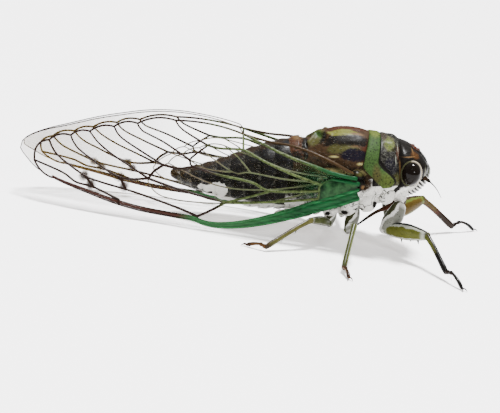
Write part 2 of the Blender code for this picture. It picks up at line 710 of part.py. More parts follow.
def build_legs():
    finishes = {
        "coxa": material("coxa_silver", (0.5, 0.5, 0.45), 0.6),
        "femur": material("femur_olive", (0.2, 0.2, 0.06), 0.4),
        "tibia": material("tibia_green", (0.2, 0.24, 0.08), 0.4),
        "tarsus": material("tarsus_brown", (0.12, 0.07, 0.03), 0.4),
    }
    underside = bpy.data.objects["thorax_underside"]
    for leg, places in LEGS.items():
        pair, side_name = leg.split("_")
        side = SIDES[side_name]
        hip, trochanter, knee, ankle, toe = (Vector(place) for place in places)
        carrier = underside
        for part, start, end, radii in zip(("coxa", "femur", "tibia"), (hip, trochanter, knee),
                                           (trochanter, knee, ankle), SEGMENT_RADII[pair]):
            path = [floor_vector(*start), floor_vector(*start.lerp(end, 0.45)), floor_vector(*end)]
            segment = piece(f"{part}_{leg}", limb(path, radii, flat=0.8, sides=10), finishes[part])
            if part == "femur" and pair == "front":
                spines = []
                for share, length in ((0.45, 1.5), (0.62, 1.0), (0.78, 1.3)):
                    base = start.lerp(end, share)
                    tip = base + Vector((0.35, 0, -length))
                    spines.append(spine(floor_vector(*base), floor_vector(*tip), 0.3))
                fuse(segment, spines)
            if part == "tibia" and pair == "hind":
                spines = []
                for share, turn in ((0.45, 1), (0.65, -1), (0.85, 1)):
                    base = start.lerp(end, share)
                    tip = base + Vector((-0.35, 0.25 * turn, 0.75 * turn))
                    spines.append(spine(floor_vector(*base), floor_vector(*tip), 0.18))
                fuse(segment, spines)
            seat(segment, carrier)
            carrier = segment
        tarsus = piece(f"tarsus_{leg}", foot_shape(ankle, toe), finishes["tarsus"])
        ahead = (toe - ankle)
        ahead.z = 0
        ahead.normalize()
        claws = []
        for turn in (-1, 1):
            way = Matrix.Rotation(turn * math.radians(24), 3, "Z") @ ahead
            tip = toe + way * CLAW_LENGTH - Vector((0, 0, toe.z - 0.08))
            bend = toe + way * CLAW_LENGTH * 0.55 + Vector((0, 0, 0.06))
            claws.append(limb([floor_vector(*toe), floor_vector(*bend), floor_vector(*tip)], [0.16, 0.12, 0.05],
                              sides=6, round_start=False, round_end=False))
        fuse(tarsus, claws)
        seat(tarsus, carrier)


def main():
    for obj in list(bpy.data.objects):
        bpy.data.objects.remove(obj)
    for name in ("annual_cicada", "cutters"):
        bpy.context.scene.collection.children.link(bpy.data.collections.new(name))
    bpy.data.collections["cutters"].hide_render = True
    stance = bpy.data.objects.new("stance", None)
    stance.matrix_world = stance_matrix()
    bpy.data.collections["annual_cicada"].objects.link(stance)
    build_head()
    build_thorax()
    build_abdomen()
    build_wings()
    build_legs()


main()
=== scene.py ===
import math
import random

import bmesh
import bpy
from mathutils import Matrix, Vector, noise


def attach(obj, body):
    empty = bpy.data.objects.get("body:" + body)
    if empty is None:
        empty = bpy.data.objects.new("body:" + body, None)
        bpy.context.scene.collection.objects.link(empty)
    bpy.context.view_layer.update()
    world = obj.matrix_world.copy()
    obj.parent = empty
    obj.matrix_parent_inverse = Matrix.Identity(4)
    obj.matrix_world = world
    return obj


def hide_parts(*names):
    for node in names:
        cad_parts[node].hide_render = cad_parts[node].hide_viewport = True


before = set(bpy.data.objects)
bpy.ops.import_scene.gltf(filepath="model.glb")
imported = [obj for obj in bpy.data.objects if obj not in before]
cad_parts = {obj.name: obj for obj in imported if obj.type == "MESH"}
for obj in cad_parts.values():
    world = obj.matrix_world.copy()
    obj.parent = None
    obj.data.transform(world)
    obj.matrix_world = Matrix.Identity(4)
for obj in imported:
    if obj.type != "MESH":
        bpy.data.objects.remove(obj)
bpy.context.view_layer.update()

random.seed(11)

# Body places are (back, out, up) in mm from the face's front, and floor places (forward, left, up) in mm
stance = {"pitch": 8.0, "faceForward": 21.4, "faceHeight": 8.5, "middle": (1.64, -0.40)}
middleX, middleY = stance["middle"]
faceOnFloor = Vector((stance["faceForward"] - middleX, -middleY, stance["faceHeight"]))
toFloor = Matrix.Translation(faceOnFloor) @ Matrix.Rotation(-math.radians(stance["pitch"]), 4, "Y")
toBody = toFloor.inverted()
toMetres = Matrix.Scale(0.001, 4) @ toFloor
sides = {"right": -1, "left": 1}


def bodyPlace(back, out, up):
    return Vector((-back, out, up))


def floorPlace(forward, left, up):
    return toBody @ Vector((forward - middleX, left - middleY, up))


# Smooth values of a table's columns, at a place in its first column
def between(rows, at):
    last = len(rows) - 1
    at = min(max(at, rows[0][0]), rows[last][0])
    i = max(n for n in range(last) if rows[n][0] <= at)
    span = rows[i + 1][0] - rows[i][0]
    t = (at - rows[i][0]) / span

    def slope(n, column):
        low, high = max(n - 1, 0), min(n + 1, last)
        return (rows[high][column] - rows[low][column]) / (rows[high][0] - rows[low][0])

    values = []
    for column in range(1, len(rows[0])):
        ease = t * t * (3 - 2 * t)
        rise = slope(i, column) * (t ** 3 - 2 * t * t + t) + slope(i + 1, column) * (t ** 3 - t * t)
        values.append(rows[i][column] * (1 - ease) + rows[i + 1][column] * ease + span * rise)
    return values


def smooth(value, start, end):
    share = min(max((value - start) / (end - start), 0), 1)
    return share * share * (3 - 2 * share)


def signedPower(value, power):
    return math.copysign(abs(value) ** power, value)


def smoothLine(points, step):
    points = [Vector(point) for point in points]
    line = []
    for i in range(len(points) - 1):
        before, start = points[max(i - 1, 0)], points[i]
        end, after = points[i + 1], points[min(i + 2, len(points) - 1)]
        count = max(1, round((end - start).length / step))
        for n in range(count):
            t = n / count
            bend = (2 * before - 5 * start + 4 * end - after) * t * t
            twist = (3 * start - before - 3 * end + after) * t ** 3
            line.append(0.5 * (2 * start + (end - before) * t + bend + twist))
    line.append(points[-1])
    return line


# Shader maths: a wire wraps a node's socket
class Wire:
    def __init__(self, tree, socket=None):
        self.tree = tree
        self.socket = socket

    def node(self, kind, settings=None, values=None, output=0):
        made = self.tree.nodes.new(kind)
        for name, value in (settings or {}).items():
            setattr(made, name, value)
        for name, value in (values or {}).items():
            if isinstance(value, Wire):
                self.tree.links.new(value.socket, made.inputs[name])
            else:
                made.inputs[name].default_value = value
        return Wire(self.tree, made.outputs[output])

    def other(self, output):
        return Wire(self.tree, self.socket.node.outputs[output])

    def part(self, axis):
        return self.node("ShaderNodeSeparateXYZ", {}, {"Vector": self}, axis)

    def maths(self, operation, *values):
        return self.node("ShaderNodeMath", {"operation": operation}, dict(enumerate((self, *values))))

    def vector(self, operation, *values, output=0):
        inputs = dict(enumerate((self, *values)))
        return self.node("ShaderNodeVectorMath", {"operation": operation}, inputs, output)

    def __add__(self, value):
        return self.maths("ADD", value)

    def __sub__(self, value):
        return self.maths("SUBTRACT", value)

    def __rsub__(self, value):
        return self.node("ShaderNodeMath", {"operation": "SUBTRACT"}, {0: value, 1: self})

    def __mul__(self, value):
        return self.maths("MULTIPLY", value)

    __radd__ = __add__
    __rmul__ = __mul__


def colour(red, green, blue):
    return (red, green, blue, 1.0)


def shaded(tint, amount):
    return colour(*(part * amount for part in tint[:3]))


def scaled(profile, size):
    return [(share, radius * size) for share, radius in profile]


black = colour(0.004, 0.0035, 0.003)
navy = colour(0.0055, 0.0045, 0.0085)
redBrown = colour(0.036, 0.012, 0.006)
brown = colour(0.02, 0.0115, 0.006)
olive = colour(0.04, 0.039, 0.012)
lime = colour(0.088, 0.09, 0.015)
leaf = colour(0.021, 0.043, 0.011)
yellowGreen = colour(0.075, 0.095, 0.018)
darkEmerald = colour(0.003, 0.024, 0.0075)
emerald = colour(0.007, 0.07, 0.02)
paleGreen = colour(0.04, 0.12, 0.042)
waxWhite = colour(0.56, 0.55, 0.51)
cream = colour(0.33, 0.29, 0.12)
tan = colour(0.086, 0.048, 0.019)
silver = colour(0.162, 0.165, 0.135)
veinDark = colour(0.012, 0.006, 0.004)
defaults = {"IOR": 1.2, "Specular IOR Level": 0.13, "Coat IOR": 1.25}


# A finish, with two maps in body mm: place has both sides as one (back, out, up), and local keeps them apart
def startFinish(name, **constants):
    finish = bpy.data.materials.new(name)
    finish.use_nodes = True
    shader = finish.node_tree.nodes["Principled BSDF"]
    constants = {socket.replace("_", " "): value for socket, value in constants.items()}
    for socket, value in {**defaults, **constants}.items():
        shader.inputs[socket].default_value = value
    start = Wire(finish.node_tree)
    pitch = math.radians(stance["pitch"])
    local = start.node("ShaderNodeMapping", {}, {
        "Vector": start.node("ShaderNodeTexCoord", output="Object"), "Scale": (1000.0, 1000.0, 1000.0),
        "Rotation": (0, pitch, 0), "Location": -(Matrix.Rotation(pitch, 4, "Y") @ faceOnFloor)})
    parts = local.part("X")
    place = start.node("ShaderNodeCombineXYZ", {}, {
        "X": parts * -1.0, "Y": parts.other("Y").maths("ABSOLUTE"), "Z": parts.other("Z")})
    return finish, shader, place, local


def link(shader, socket, wire):
    wire.tree.links.new(wire.socket, shader.inputs[socket])


def grain(place, scale, detail=3.0, roughness=0.55):
    values = {"Vector": place, "Scale": scale, "Detail": detail, "Roughness": roughness}
    return place.node("ShaderNodeTexNoise", {}, values)


def dots(place, scale):
    return place.node("ShaderNodeTexVoronoi", {}, {"Vector": place, "Scale": scale}, output="Distance")


def fade(value, start, end):
    return value.node("ShaderNodeMapRange", {"interpolation_type": "SMOOTHSTEP"},
                      {"Value": value, "From Min": start, "From Max": end, "To Min": 0.0, "To Max": 1.0})


def paint(mask, under, over):
    return mask.node("ShaderNodeMix", {"data_type": "RGBA"}, {0: mask, 6: under, 7: over}, output=2)


# The way attribute's parts on a skin: the share of its length, and the turn round it as (cos, sin)
def wayPart(place, axis):
    return place.node("ShaderNodeAttribute", {"attribute_name": "way"}, output="Vector").part(axis)


# 1 inside an oval patch of the body, fading out at its edge, which the wobble breaks up
def patch(place, centre, radii, wobble, soft):
    distance = place.vector("SUBTRACT", centre).vector("DIVIDE", radii).vector("LENGTH", output="Value")
    return fade(distance + wobble, 1 + soft, 1 - soft)


def bump(shader, height, strength, depth):
    values = {"Height": height, "Strength": strength, "Distance": depth}
    link(shader, "Normal", height.node("ShaderNodeBump", {}, values))


# A grain between two tints, alone
def plainFinish(name, scale, dark, light, detail=3.0, **constants):
    finish, shader, place, local = startFinish(name, **constants)
    link(shader, "Base Color", paint(grain(local, scale, detail), dark, light))
    return finish, shader, local


# Chitin with a ground colour and painted patches, each (colour, centre, radii, softness)
def chitin(name, ground, patches, roughness=0.42, wobble=0.5, bumpDepth=0.00004, pitScale=5.0, mottle=0.5,
           coat=0.06, dust=None, dustAmount=0.0, creases=0.0, specks=0.0, rim=None):
    finish, shader, place, local = startFinish(name, Coat_Weight=coat, Coat_Roughness=0.2)
    fine = grain(local, 4.0, 4.0, 0.6)
    edge = (grain(local, 1.1, 3.0) - 0.5) * wobble * 2.0 + (fine - 0.5) * 0.8
    mixed = paint(fade(fine, 0.25, 0.8) * mottle, ground, shaded(ground, 2.2))
    for tint, centre, radii, soft in patches:
        mixed = paint(patch(place, centre, radii, edge, soft), mixed,
                      paint(fine, shaded(tint, 0.55), shaded(tint, 1.45)))
    if dust:
        powder = fade(grain(local, 6.0, 5.0, 0.7), 0.62 - dustAmount * 0.3, 0.72)
        mixed = paint(powder * dustAmount, mixed, dust)
    if specks:
        mixed = paint(fade(dots(local, 2.6) + (fine - 0.5) * 0.3, 0.3, 0.16) * specks, mixed, black)
    if rim:
        tint, low, high = rim
        share = wayPart(place, "X") + (fine - 0.5) * 0.06
        for start, end in ((low, low * 0.5), (high, (1 + high) / 2)):
            mixed = paint(fade(share, start, end), mixed, tint)
    if creases:
        line = (grain(local, 0.75, 2.0) - 0.5).maths("ABSOLUTE")
        mixed = paint(fade(line, 0.022, 0.006) * creases, mixed, black)
    link(shader, "Base Color", mixed)
    link(shader, "Roughness", roughness + (fine - 0.5) * 0.3)
    bump(shader, grain(local, 2.2, 3.0) * 0.6 + dots(local, pitScale) * 0.5, 0.8, bumpDepth)
    return finish


def newObject(name, data):
    made = bpy.data.objects.new(name, data)
    bpy.context.scene.collection.objects.link(made)
    return made


# Pieces: a mesh in body mm becomes an object at the origin, in metres, that rides on the root body
def finishPiece(name, bm, finish, nodes=(), smooth=True):
    bmesh.ops.transform(bm, matrix=toMetres, verts=bm.verts)
    mesh = bpy.data.meshes.new(name)
    bm.to_mesh(mesh)
    bm.free()
    obj = newObject(name, mesh)
    mesh.materials.append(finish)
    if smooth:
        mesh.shade_smooth()
    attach(obj, "root")
    if nodes:
        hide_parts(*nodes)


def facesOut(bm):
    bmesh.ops.recalc_face_normals(bm, faces=bm.faces)
    return bm


# Closed skin through cross-sections: a circle is placed on the first, and each next ring is extruded from it
def skin(rings):
    bm = bmesh.new()
    way = bm.verts.layers.float_vector.new("way")       # share of the length, and the turn round it
    count = len(rings[0])
    ring = bmesh.ops.create_circle(bm, segments=count, radius=1.0)["verts"]
    order = {vert: i for i, vert in enumerate(ring)}
    startEdges = edges = bm.edges[:]
    for n, places in enumerate(rings):
        if n:
            made = bmesh.ops.extrude_edge_only(bm, edges=edges)["geom"]
            fresh = {}
            for item in made:
                if isinstance(item, bmesh.types.BMVert):
                    for edge in item.link_edges:
                        if edge.other_vert(item) in order:
                            fresh[item] = order[edge.other_vert(item)]
            edges = [item for item in made if isinstance(item, bmesh.types.BMEdge)
                     and item.verts[0] in fresh and item.verts[1] in fresh]
            order = fresh
        for vert, i in order.items():
            vert.co = places[i]
            turn = math.tau * i / count
            vert[way] = (n / (len(rings) - 1), math.cos(turn), math.sin(turn))
    for hole in (startEdges, edges):
        bmesh.ops.contextual_create(bm, geom=hole)
    return facesOut(bm)


# How far back a bowed section lies at a place out; the bow is its value at 5 mm
def bowed(bow, out):
    return bow * (out / 5) ** 2


# A place on the body's section, whose corners get fuller as full grows
def ovalPlace(back, half, top, bottom, full, turn, bow=0.0):
    out = half * signedPower(math.cos(turn), 2 / full)
    up = (top + bottom) / 2 + (top - bottom) / 2 * signedPower(math.sin(turn), 2 / full)
    return bodyPlace(back + bowed(bow, out), out, up)


def ovalRing(back, half, top, bottom, full, count, bow=0.0):
    return [ovalPlace(back, half, top, bottom, full, math.tau * i / count, bow) for i in range(count)]


def spaced(start, end, step):
    count = max(2, round((end - start) / step))
    return [start + (end - start) * n / count for n in range(count + 1)]


# Skin over a table of sections, each (back, half width, top, bottom, full)
def rowSkin(rows, step, count, bow=0.0):
    places = spaced(rows[0][0], rows[-1][0], step)
    return skin([ovalRing(back, *between(rows, back), count, bow) for back in places])


def tubeRings(path, radii, flat=1.0, count=12, reference=(0, 0, 1)):
    rings = []
    for i, point in enumerate(path):
        ahead = (path[min(i + 1, len(path) - 1)] - path[max(i - 1, 0)]).normalized()
        across = ahead.cross(Vector(reference))
        if across.length < 0.05:
            across = Vector((0, 1, 0))
        across.normalize()
        rise = across.cross(ahead)
        rings.append([point + radii[i] * (flat * math.cos(math.tau * n / count) * across
                                          + math.sin(math.tau * n / count) * rise) for n in range(count)])
    return rings


# Rod with rounded ends along a path of body places; the profile gives (share, radius)
def rod(path, profile, flat=1.0, count=12, reference=(0, 0, 1), caps=3):
    lengths = [0.0]
    for near, far in zip(path, path[1:]):
        lengths.append(lengths[-1] + (far - near).length)
    radii = [between(profile, length / lengths[-1])[0] for length in lengths]
    path = [point.copy() for point in path]
    for first in (True, False):
        here, inner = (path[0], path[1]) if first else (path[-1], path[-2])
        radius = radii[0] if first else radii[-1]
        ahead = (here - inner).normalized()
        extra = [(here + ahead * radius * math.sin(a) * 0.9, radius * max(math.cos(a), 0.08))
                 for a in (math.pi / 2 * (n + 1) / caps for n in range(caps))]
        if first:
            path = [point for point, size in reversed(extra)] + path
            radii = [size for point, size in reversed(extra)] + radii
        else:
            path = path + [point for point, size in extra]
            radii = radii + [size for point, size in extra]
    return skin(tubeRings(path, radii, flat, count, reference))


def ball(centre, radii, tilt=0.0, turn=0.0, segments=32, rings=20):
    bm = bmesh.new()
    bmesh.ops.create_uvsphere(bm, u_segments=segments, v_segments=rings, radius=1.0)
    size = Matrix.Diagonal(Vector(radii)).to_4x4()
    lean = Matrix.Rotation(turn, 4, "Z") @ Matrix.Rotation(tilt, 4, "Y")
    bmesh.ops.transform(bm, matrix=Matrix.Translation(bodyPlace(*centre)) @ lean @ size, verts=bm.verts)
    return bm


# Each row is (centre, radii, tilt, turn)
def balls(rows, segments, rings):
    return addTo(*[ball(*row, segments, rings) for row in rows])


def bodyPlaces(places, side=1):
    return [bodyPlace(back, side * out, up) for back, out, up in places]


def addTo(bm, *others):
    for other in others:
        mesh = bpy.data.meshes.new("part")
        other.to_mesh(mesh)
        other.free()
        bm.from_mesh(mesh)
        bpy.data.meshes.remove(mesh)
    return bm


# The other side's copy, faces outwards again
def mirrored(bm):
    bmesh.ops.scale(bm, vec=(1, -1, 1), verts=bm.verts)
    bmesh.ops.reverse_faces(bm, faces=bm.faces)
    return bm


def bothSides(build):
    return addTo(build(), mirrored(build()))


# Moves each vertex out along its normal by a function of its (back, |out|, up)
def sculpt(bm, rise):
    bm.normal_update()
    moves = [(vert, vert.normal * rise(-vert.co.x, abs(vert.co.y), vert.co.z)) for vert in bm.verts]
    for vert, move in moves:
        vert.co += move
    return bm


def hump(value, centre, width):
    return math.exp(-((value - centre) / width) ** 2)


def ripple(back, out, up, scale):
    return noise.noise(Vector((back, out, up)) * scale)


# Camera and studio
view = {"elevation": 14.0, "azimuth": -2.5, "roll": 9.0, "distance": 130.0, "aim": (-1.64, 0.40, 2.0),
        "lens": 76.3, "sensor": 36.0, "clip": (0.005, 20.0)}


def makeCamera():
    data = bpy.data.cameras.new("camera")
    data.lens = view["lens"]
    data.sensor_width = view["sensor"]
    data.clip_start, data.clip_end = view["clip"]
    camera = newObject("camera", data)
    elevation, azimuth, roll = (math.radians(view[k]) for k in ("elevation", "azimuth", "roll"))
    flat = math.cos(elevation)
    back = Vector((math.sin(azimuth) * flat, -math.cos(azimuth) * flat, math.sin(elevation)))
    right = Vector((0, 0, 1)).cross(back).normalized()
    up = back.cross(right)
    turned = (right * math.cos(roll) + up * math.sin(roll), up * math.cos(roll) - right * math.sin(roll))
    matrix = Matrix((*turned, back)).transposed().to_4x4()
    matrix.translation = (Vector(view["aim"]) + back * view["distance"]) * 0.001
    camera.matrix_world = matrix
    bpy.context.scene.camera = camera


studio = {
    "floorSize": 16.0, "floorGlow": 0.66, "glowTint": colour(1.0, 0.95, 0.925), "skyStrength": 0.42,
    "paper": (colour(0.92, 0.92, 0.94), colour(0.93, 0.92, 0.92)),
    "sunTilt": (-15.0, 3.0, 0.0), "sunStrength": 14.0, "sunAngle": 13.0,
    "lamps": (("lampFront", (0.16, -0.34, 0.20), 0.75, 0.05), ("lampRear", (-0.12, -0.24, 0.30), 0.15, 0.03)),
}


def makeStudio():
    bm = bmesh.new()
    bmesh.ops.create_grid(bm, x_segments=1, y_segments=1, size=studio["floorSize"] / 2)
    mesh = bpy.data.meshes.new("floor")
    bm.to_mesh(mesh)
    bm.free()
    floor = newObject("floor", mesh)
    finish, shader, _ = plainFinish("floorPaper", 0.02, *studio["paper"], detail=2.0, Roughness=0.75)
    shader.inputs["Emission Color"].default_value = studio["glowTint"]
    shader.inputs["Emission Strength"].default_value = studio["floorGlow"]
    mesh.materials.append(finish)
    world = bpy.data.worlds.new("studio")
    world.use_nodes = True
    backdrop = world.node_tree.nodes["Background"]
    backdrop.inputs["Color"].default_value = colour(1.0, 1.0, 1.0)
    backdrop.inputs["Strength"].default_value = studio["skyStrength"]
    bpy.context.scene.world = world
    data = bpy.data.lights.new("sun", "SUN")
    data.energy = studio["sunStrength"]
    data.angle = math.radians(studio["sunAngle"])
    sun = newObject("sun", data)
    sun.rotation_euler = [math.radians(tilt) for tilt in studio["sunTilt"]]
    for name, place, power, size in studio["lamps"]:
        data = bpy.data.lights.new(name, "AREA")
        data.energy = power
        data.size = size
        lamp = newObject(name, data)
        lamp.location = place
        lamp.rotation_euler = (-Vector(place)).to_track_quat("-Z", "Y").to_euler()


# Head
head = {
    "rows": ((0.62, 0.7, 2.1, 1.0, 2.0), (0.75, 1.8, 2.7, 0.5, 2.0), (1.2, 3.2, 3.3, 0.0, 2.2),
             (1.8, 4.25, 3.9, -0.6, 2.4), (2.6, 4.75, 4.45, -1.2, 2.4), (3.4, 4.9, 4.9, -1.75, 2.4),
             (4.3, 4.85, 5.2, -2.2, 2.3), (5.3, 4.6, 5.3, -2.3, 2.2)),
    "bow": 0.35,
    "pinches": ((0.52, 0.7, -1.9, 5.2, 3.6), (0.56, 1.3, 0.3, 3.0, 1.6), (0.45, 1.0, 0.0, 3.8, 2.4)),
    "eye": (3.3, 4.95, 1.95), "eyeRadii": (1.12, 1.35, 1.4), "eyeTilt": 8.0,
    "rimWidth": 0.12, "rimRadius": 0.96, "rimInset": 0.08,
    "ocelli": ((1.85, 0.0, 3.88), (2.35, 0.85, 4.2), (2.35, -0.85, 4.2)), "ocellusRadius": 0.27,
    "face": (2.42, 0.0, 0.42), "faceRadii": (1.64, 2.9, 2.75), "faceTilt": 45.0,
    "faceRidges": 13, "ridgeHeight": 0.045, "ridgeBend": 0.55, "stripeWidth": 0.28, "stripeDepth": 0.65,
    "cheeks": (((3.6, 1.5, -0.85), (0.8, 0.7, 1.2), 0.6, 0.0), ((4.2, 2.5, -0.9), (1.0, 0.8, 1.2), 0.4, 0.0)),
    "mouth": (((3.75, 0.0, -2.2), (0.75, 0.85, 0.85), 0.5, 0.0),),
    "beak": ((3.6, 0, -2.5), (5.0, 0, -3.25), (6.8, 0, -4.1), (8.8, 0, -5.6)),
    "stylet": ((8.7, 0, -5.52), (9.3, 0, -5.98)),
}
faceLong = Matrix.Rotation(math.radians(head["faceTilt"]), 3, "Y") @ Vector((0, 0, 1))


# Each pinch narrows the skin to show the face, as (share, from up, to up, from back, to back)
def headSkin():
    bm = rowSkin(head["rows"], 0.12, 96, head["bow"])
    for vert in bm.verts:
        pinch = 1.0
        for share, high, low, rear, front in head["pinches"]:
            pinch *= 1 - share * smooth(vert.co.z, high, low) * smooth(-vert.co.x, rear, front)
        vert.co.y *= pinch

    def rise(back, out, up):
        crown = up - 2.2
        ledge = 0.28 * hump(up, 2.3, 0.55) * hump(out, 2.9, 0.9) * hump(back, 1.5, 0.8)
        groove = -0.22 * hump(out, 1.55 + 0.12 * back, 0.16) * (crown > 0) * hump(back, 2.0, 1.2)
        centre = 0.12 * hump(out, 0.0, 0.9) * (crown > 0) * hump(back, 2.2, 1.0)
        socket = -0.3 * hump(up, 1.05, 0.35) * hump(out, 2.75, 0.5) * hump(back, 1.2, 0.7)
        behindEye = -0.35 * hump(back, 4.75, 0.35) * (up > 0)
        return ledge + groove + centre + socket + behindEye + 0.03 * ripple(back, out, up, 2.2)

    return sculpt(bm, rise)


def faceSkin():
    bm = ball(head["face"], head["faceRadii"], math.radians(head["faceTilt"]), 0.0, 48, 88)
    centre = bodyPlace(*head["face"])
    for vert in bm.verts:
        offset = vert.co - centre
        height = offset.dot(faceLong)
        across = offset - faceLong * height
        share = height / head["faceRadii"][2]
        wave = math.cos(math.pi * head["faceRidges"] * share + abs(vert.co.y) * head["ridgeBend"])
        wave *= head["ridgeHeight"] * (1 - head["stripeDepth"] * hump(vert.co.y, 0.0, head["stripeWidth"]))
        height *= 0.95 if height > 0 else 1.0
        vert.co = centre + faceLong * height + across * (1 + wave * (1 - share ** 4))
    return bm


def eyeRim(side):
    bm = bmesh.new()
    bmesh.ops.create_circle(bm, segments=10, radius=head["rimWidth"],
                            matrix=Matrix.Translation((1, 0, 0)) @ Matrix.Rotation(math.pi / 2, 4, "X"))
    bmesh.ops.spin(bm, geom=bm.edges[:], axis=(0, 0, 1), angle=math.tau, steps=48, use_merge=True)
    back, out, up = head["eye"]
    wide, tall = head["eyeRadii"][0], head["eyeRadii"][2]
    lean = Matrix.Rotation(math.radians(head["eyeTilt"]), 3, "Y")
    for vert in bm.verts:
        turn = math.atan2(vert.co.y, vert.co.x)
        ring = math.hypot(vert.co.x, vert.co.y) - head["rimRadius"]
        place = lean @ Vector(((wide + ring) * math.cos(turn), vert.co.z, (tall + ring) * math.sin(turn)))
        place.y *= side
        vert.co = bodyPlace(back, side * (out - head["rimInset"]), up) + place
    return facesOut(bm)


antennaParts = (                                        # places, step, radii and points round them
    (((1.45, 2.6, 1.0), (1.1, 2.85, 0.85), (0.75, 3.1, 0.6)), 0.1,
     ((0, 0.27), (0.3, 0.3), (0.5, 0.2), (0.7, 0.24), (1, 0.14)), 12),
    (((0.8, 3.05, 0.65), (0.25, 3.45, 0.15), (-0.15, 3.8, -0.4), (-0.5, 4.2, -1.1)), 0.06,
     ((0, 0.1), (0.25, 0.075), (1, 0.03)), 8),
)


def antenna(side):
    return addTo(*[rod(smoothLine(bodyPlaces(places, side), step), profile, count=count)
                   for places, step, profile, count in antennaParts])


# Glossy black with pale bars between the ridges, and wax on the sides
def faceFinish():
    finish, shader, place, local = startFinish("faceChitin", Coat_Weight=0.4, Coat_Roughness=0.1)
    offset = local.vector("SUBTRACT", bodyPlace(*head["face"]))
    height = offset.vector("DOT_PRODUCT", faceLong, output="Value")
    out = place.part("Y")
    ridges = height * (math.pi * head["faceRidges"] / head["faceRadii"][2]) + out * head["ridgeBend"]
    ragged = (grain(local, 2.0) - 0.5) * 0.3
    bars = fade(ridges.maths("COSINE") + (grain(local, 3.0) - 0.5) * 0.4, -0.2, -0.5)
    bars *= fade(out + height * height * 0.1 + ragged, 0.8, 1.0) * (1.0 - fade(height, 1.7, 1.9))
    outer = fade(out + out.other("X") * 0.35 + ragged, 3.6, 3.75)
    brow = fade(height + out * 0.3, 2.0, 2.4) * fade(grain(local, 1.6), 0.35, 0.55)
    mixed = paint(outer, paint(bars, black, waxWhite), waxWhite)
    link(shader, "Base Color", paint(brow, mixed, colour(0.03, 0.032, 0.018)))
    link(shader, "Roughness", 0.3 + outer * 0.3)
    bump(shader, grain(local, 5.0), 0.4, 0.00003)
    return finish


def makeHead():
    skinFinish = chitin("headChitin", black, (
        (redBrown, (2.4, 0.3, 4.3), (0.6, 1.2, 0.6), 0.4),
        (colour(0.045, 0.02, 0.007), (2.75, 3.1, 3.7), (0.55, 0.75, 0.55), 0.35),
        (tan, (3.5, 3.7, 3.75), (0.8, 0.8, 0.07), 0.5),
        (tan, (2.95, 2.6, 4.2), (0.09, 0.9, 0.5), 0.4),
        (tan, (4.6, 4.5, 2.4), (0.1, 0.7, 1.3), 0.5),
        (colour(0.14, 0.14, 0.1), (1.45, 3.2, 1.7), (0.1, 0.7, 0.9), 0.3),
        (black, (0.9, 2.3, 2.0), (0.3, 0.5, 0.8), 0.3),
        (black, (1.2, 2.7, 0.85), (0.35, 0.6, 0.3), 0.25),
        (waxWhite, (2.9, 3.2, -0.9), (2.3, 2.4, 1.4), 0.12),
        (waxWhite, (4.4, 3.0, -1.6), (1.5, 3.0, 1.3), 0.2),
        (black, (3.7, 4.4, -1.35), (0.28, 0.6, 0.16), 0.3),
    ), roughness=0.34, wobble=0.3, mottle=0.7, creases=0.6)
    finishPiece("headSkin", headSkin(), skinFinish, ["head"])
    finishPiece("faceSkin", faceSkin(), faceFinish(), ["postclypeus"])
    cheekFinish = chitin("cheekWax", waxWhite, (
        (black, (3.9, 1.5, -2.9), (0.35, 0.5, 0.3), 0.4),
        (silver, (2.6, 2.6, -1.2), (0.3, 0.5, 1.0), 0.5),
    ), roughness=0.7, coat=0.0, mottle=0.0, dust=black, dustAmount=0.55, creases=0.7)
    cheeks = addTo(bothSides(lambda: balls(head["cheeks"], 28, 20)), balls(head["mouth"], 28, 20))
    finishPiece("cheeks", cheeks, cheekFinish)

    tints = colour(0.002, 0.0016, 0.0012), colour(0.006, 0.004, 0.003)
    eyeFinish, shader, local = plainFinish("eyeGloss", 1.5, *tints, Roughness=0.08, Specular_IOR_Level=0.38)
    bump(shader, dots(local, 14.0), 0.05, 0.00001)
    rimFinish = chitin("eyeRim", colour(0.03, 0.03, 0.014), (
        (colour(0.36, 0.31, 0.23), (2.3, 4.9, 2.3), (1.25, 1.5, 1.8), 0.25),
    ), wobble=0.1, mottle=0.3)
    back, out, up = head["eye"]
    for name, side in sides.items():
        eye = ball((back, side * out, up), head["eyeRadii"], math.radians(head["eyeTilt"]), 0.0, 48, 32)
        finishPiece("eye_" + name, eye, eyeFinish, ["eye_" + name])
        finishPiece("eyeRim_" + name, eyeRim(side), rimFinish)

    beadFinish, *_ = plainFinish("ocellusBead", 2.0, colour(0.03, 0.006, 0.003), colour(0.11, 0.018, 0.006),
                                 Coat_Weight=1.0, Coat_Roughness=0.04, Roughness=0.2)
    radius = head["ocellusRadius"]
    beads = balls([(place, (radius, radius, radius * 0.9), 0.0, 0.0) for place in head["ocelli"]], 20, 14)
    finishPiece("ocelli", beads, beadFinish)

    antennaFinish = chitin("antennaChitin", black, (
        (brown, (1.4, 2.7, 0.95), (0.5, 0.5, 0.5), 0.5),
    ), roughness=0.3)
    for name, side in sides.items():
        finishPiece("antenna_" + name, antenna(side), antennaFinish, ["antenna_" + name])

    beakFinish = chitin("beakChitin", brown, (
        (black, (8.4, 0, -5.4), (1.5, 1, 1.0), 0.5),
        (redBrown, (5.0, 0, -3.3), (1.2, 1, 0.7), 0.6),
    ), roughness=0.35)
    beak = rod(smoothLine(bodyPlaces(head["beak"]), 0.15),
               ((0, 0.7), (0.12, 0.62), (0.24, 0.4), (0.4, 0.26), (0.8, 0.17), (1, 0.12)), 0.9, 16)
    stylet = rod(bodyPlaces(head["stylet"]), ((0, 0.08), (1, 0.04)), 1.0, 8)
    finishPiece("beak", addTo(beak, stylet), beakFinish, ["rostrum"])


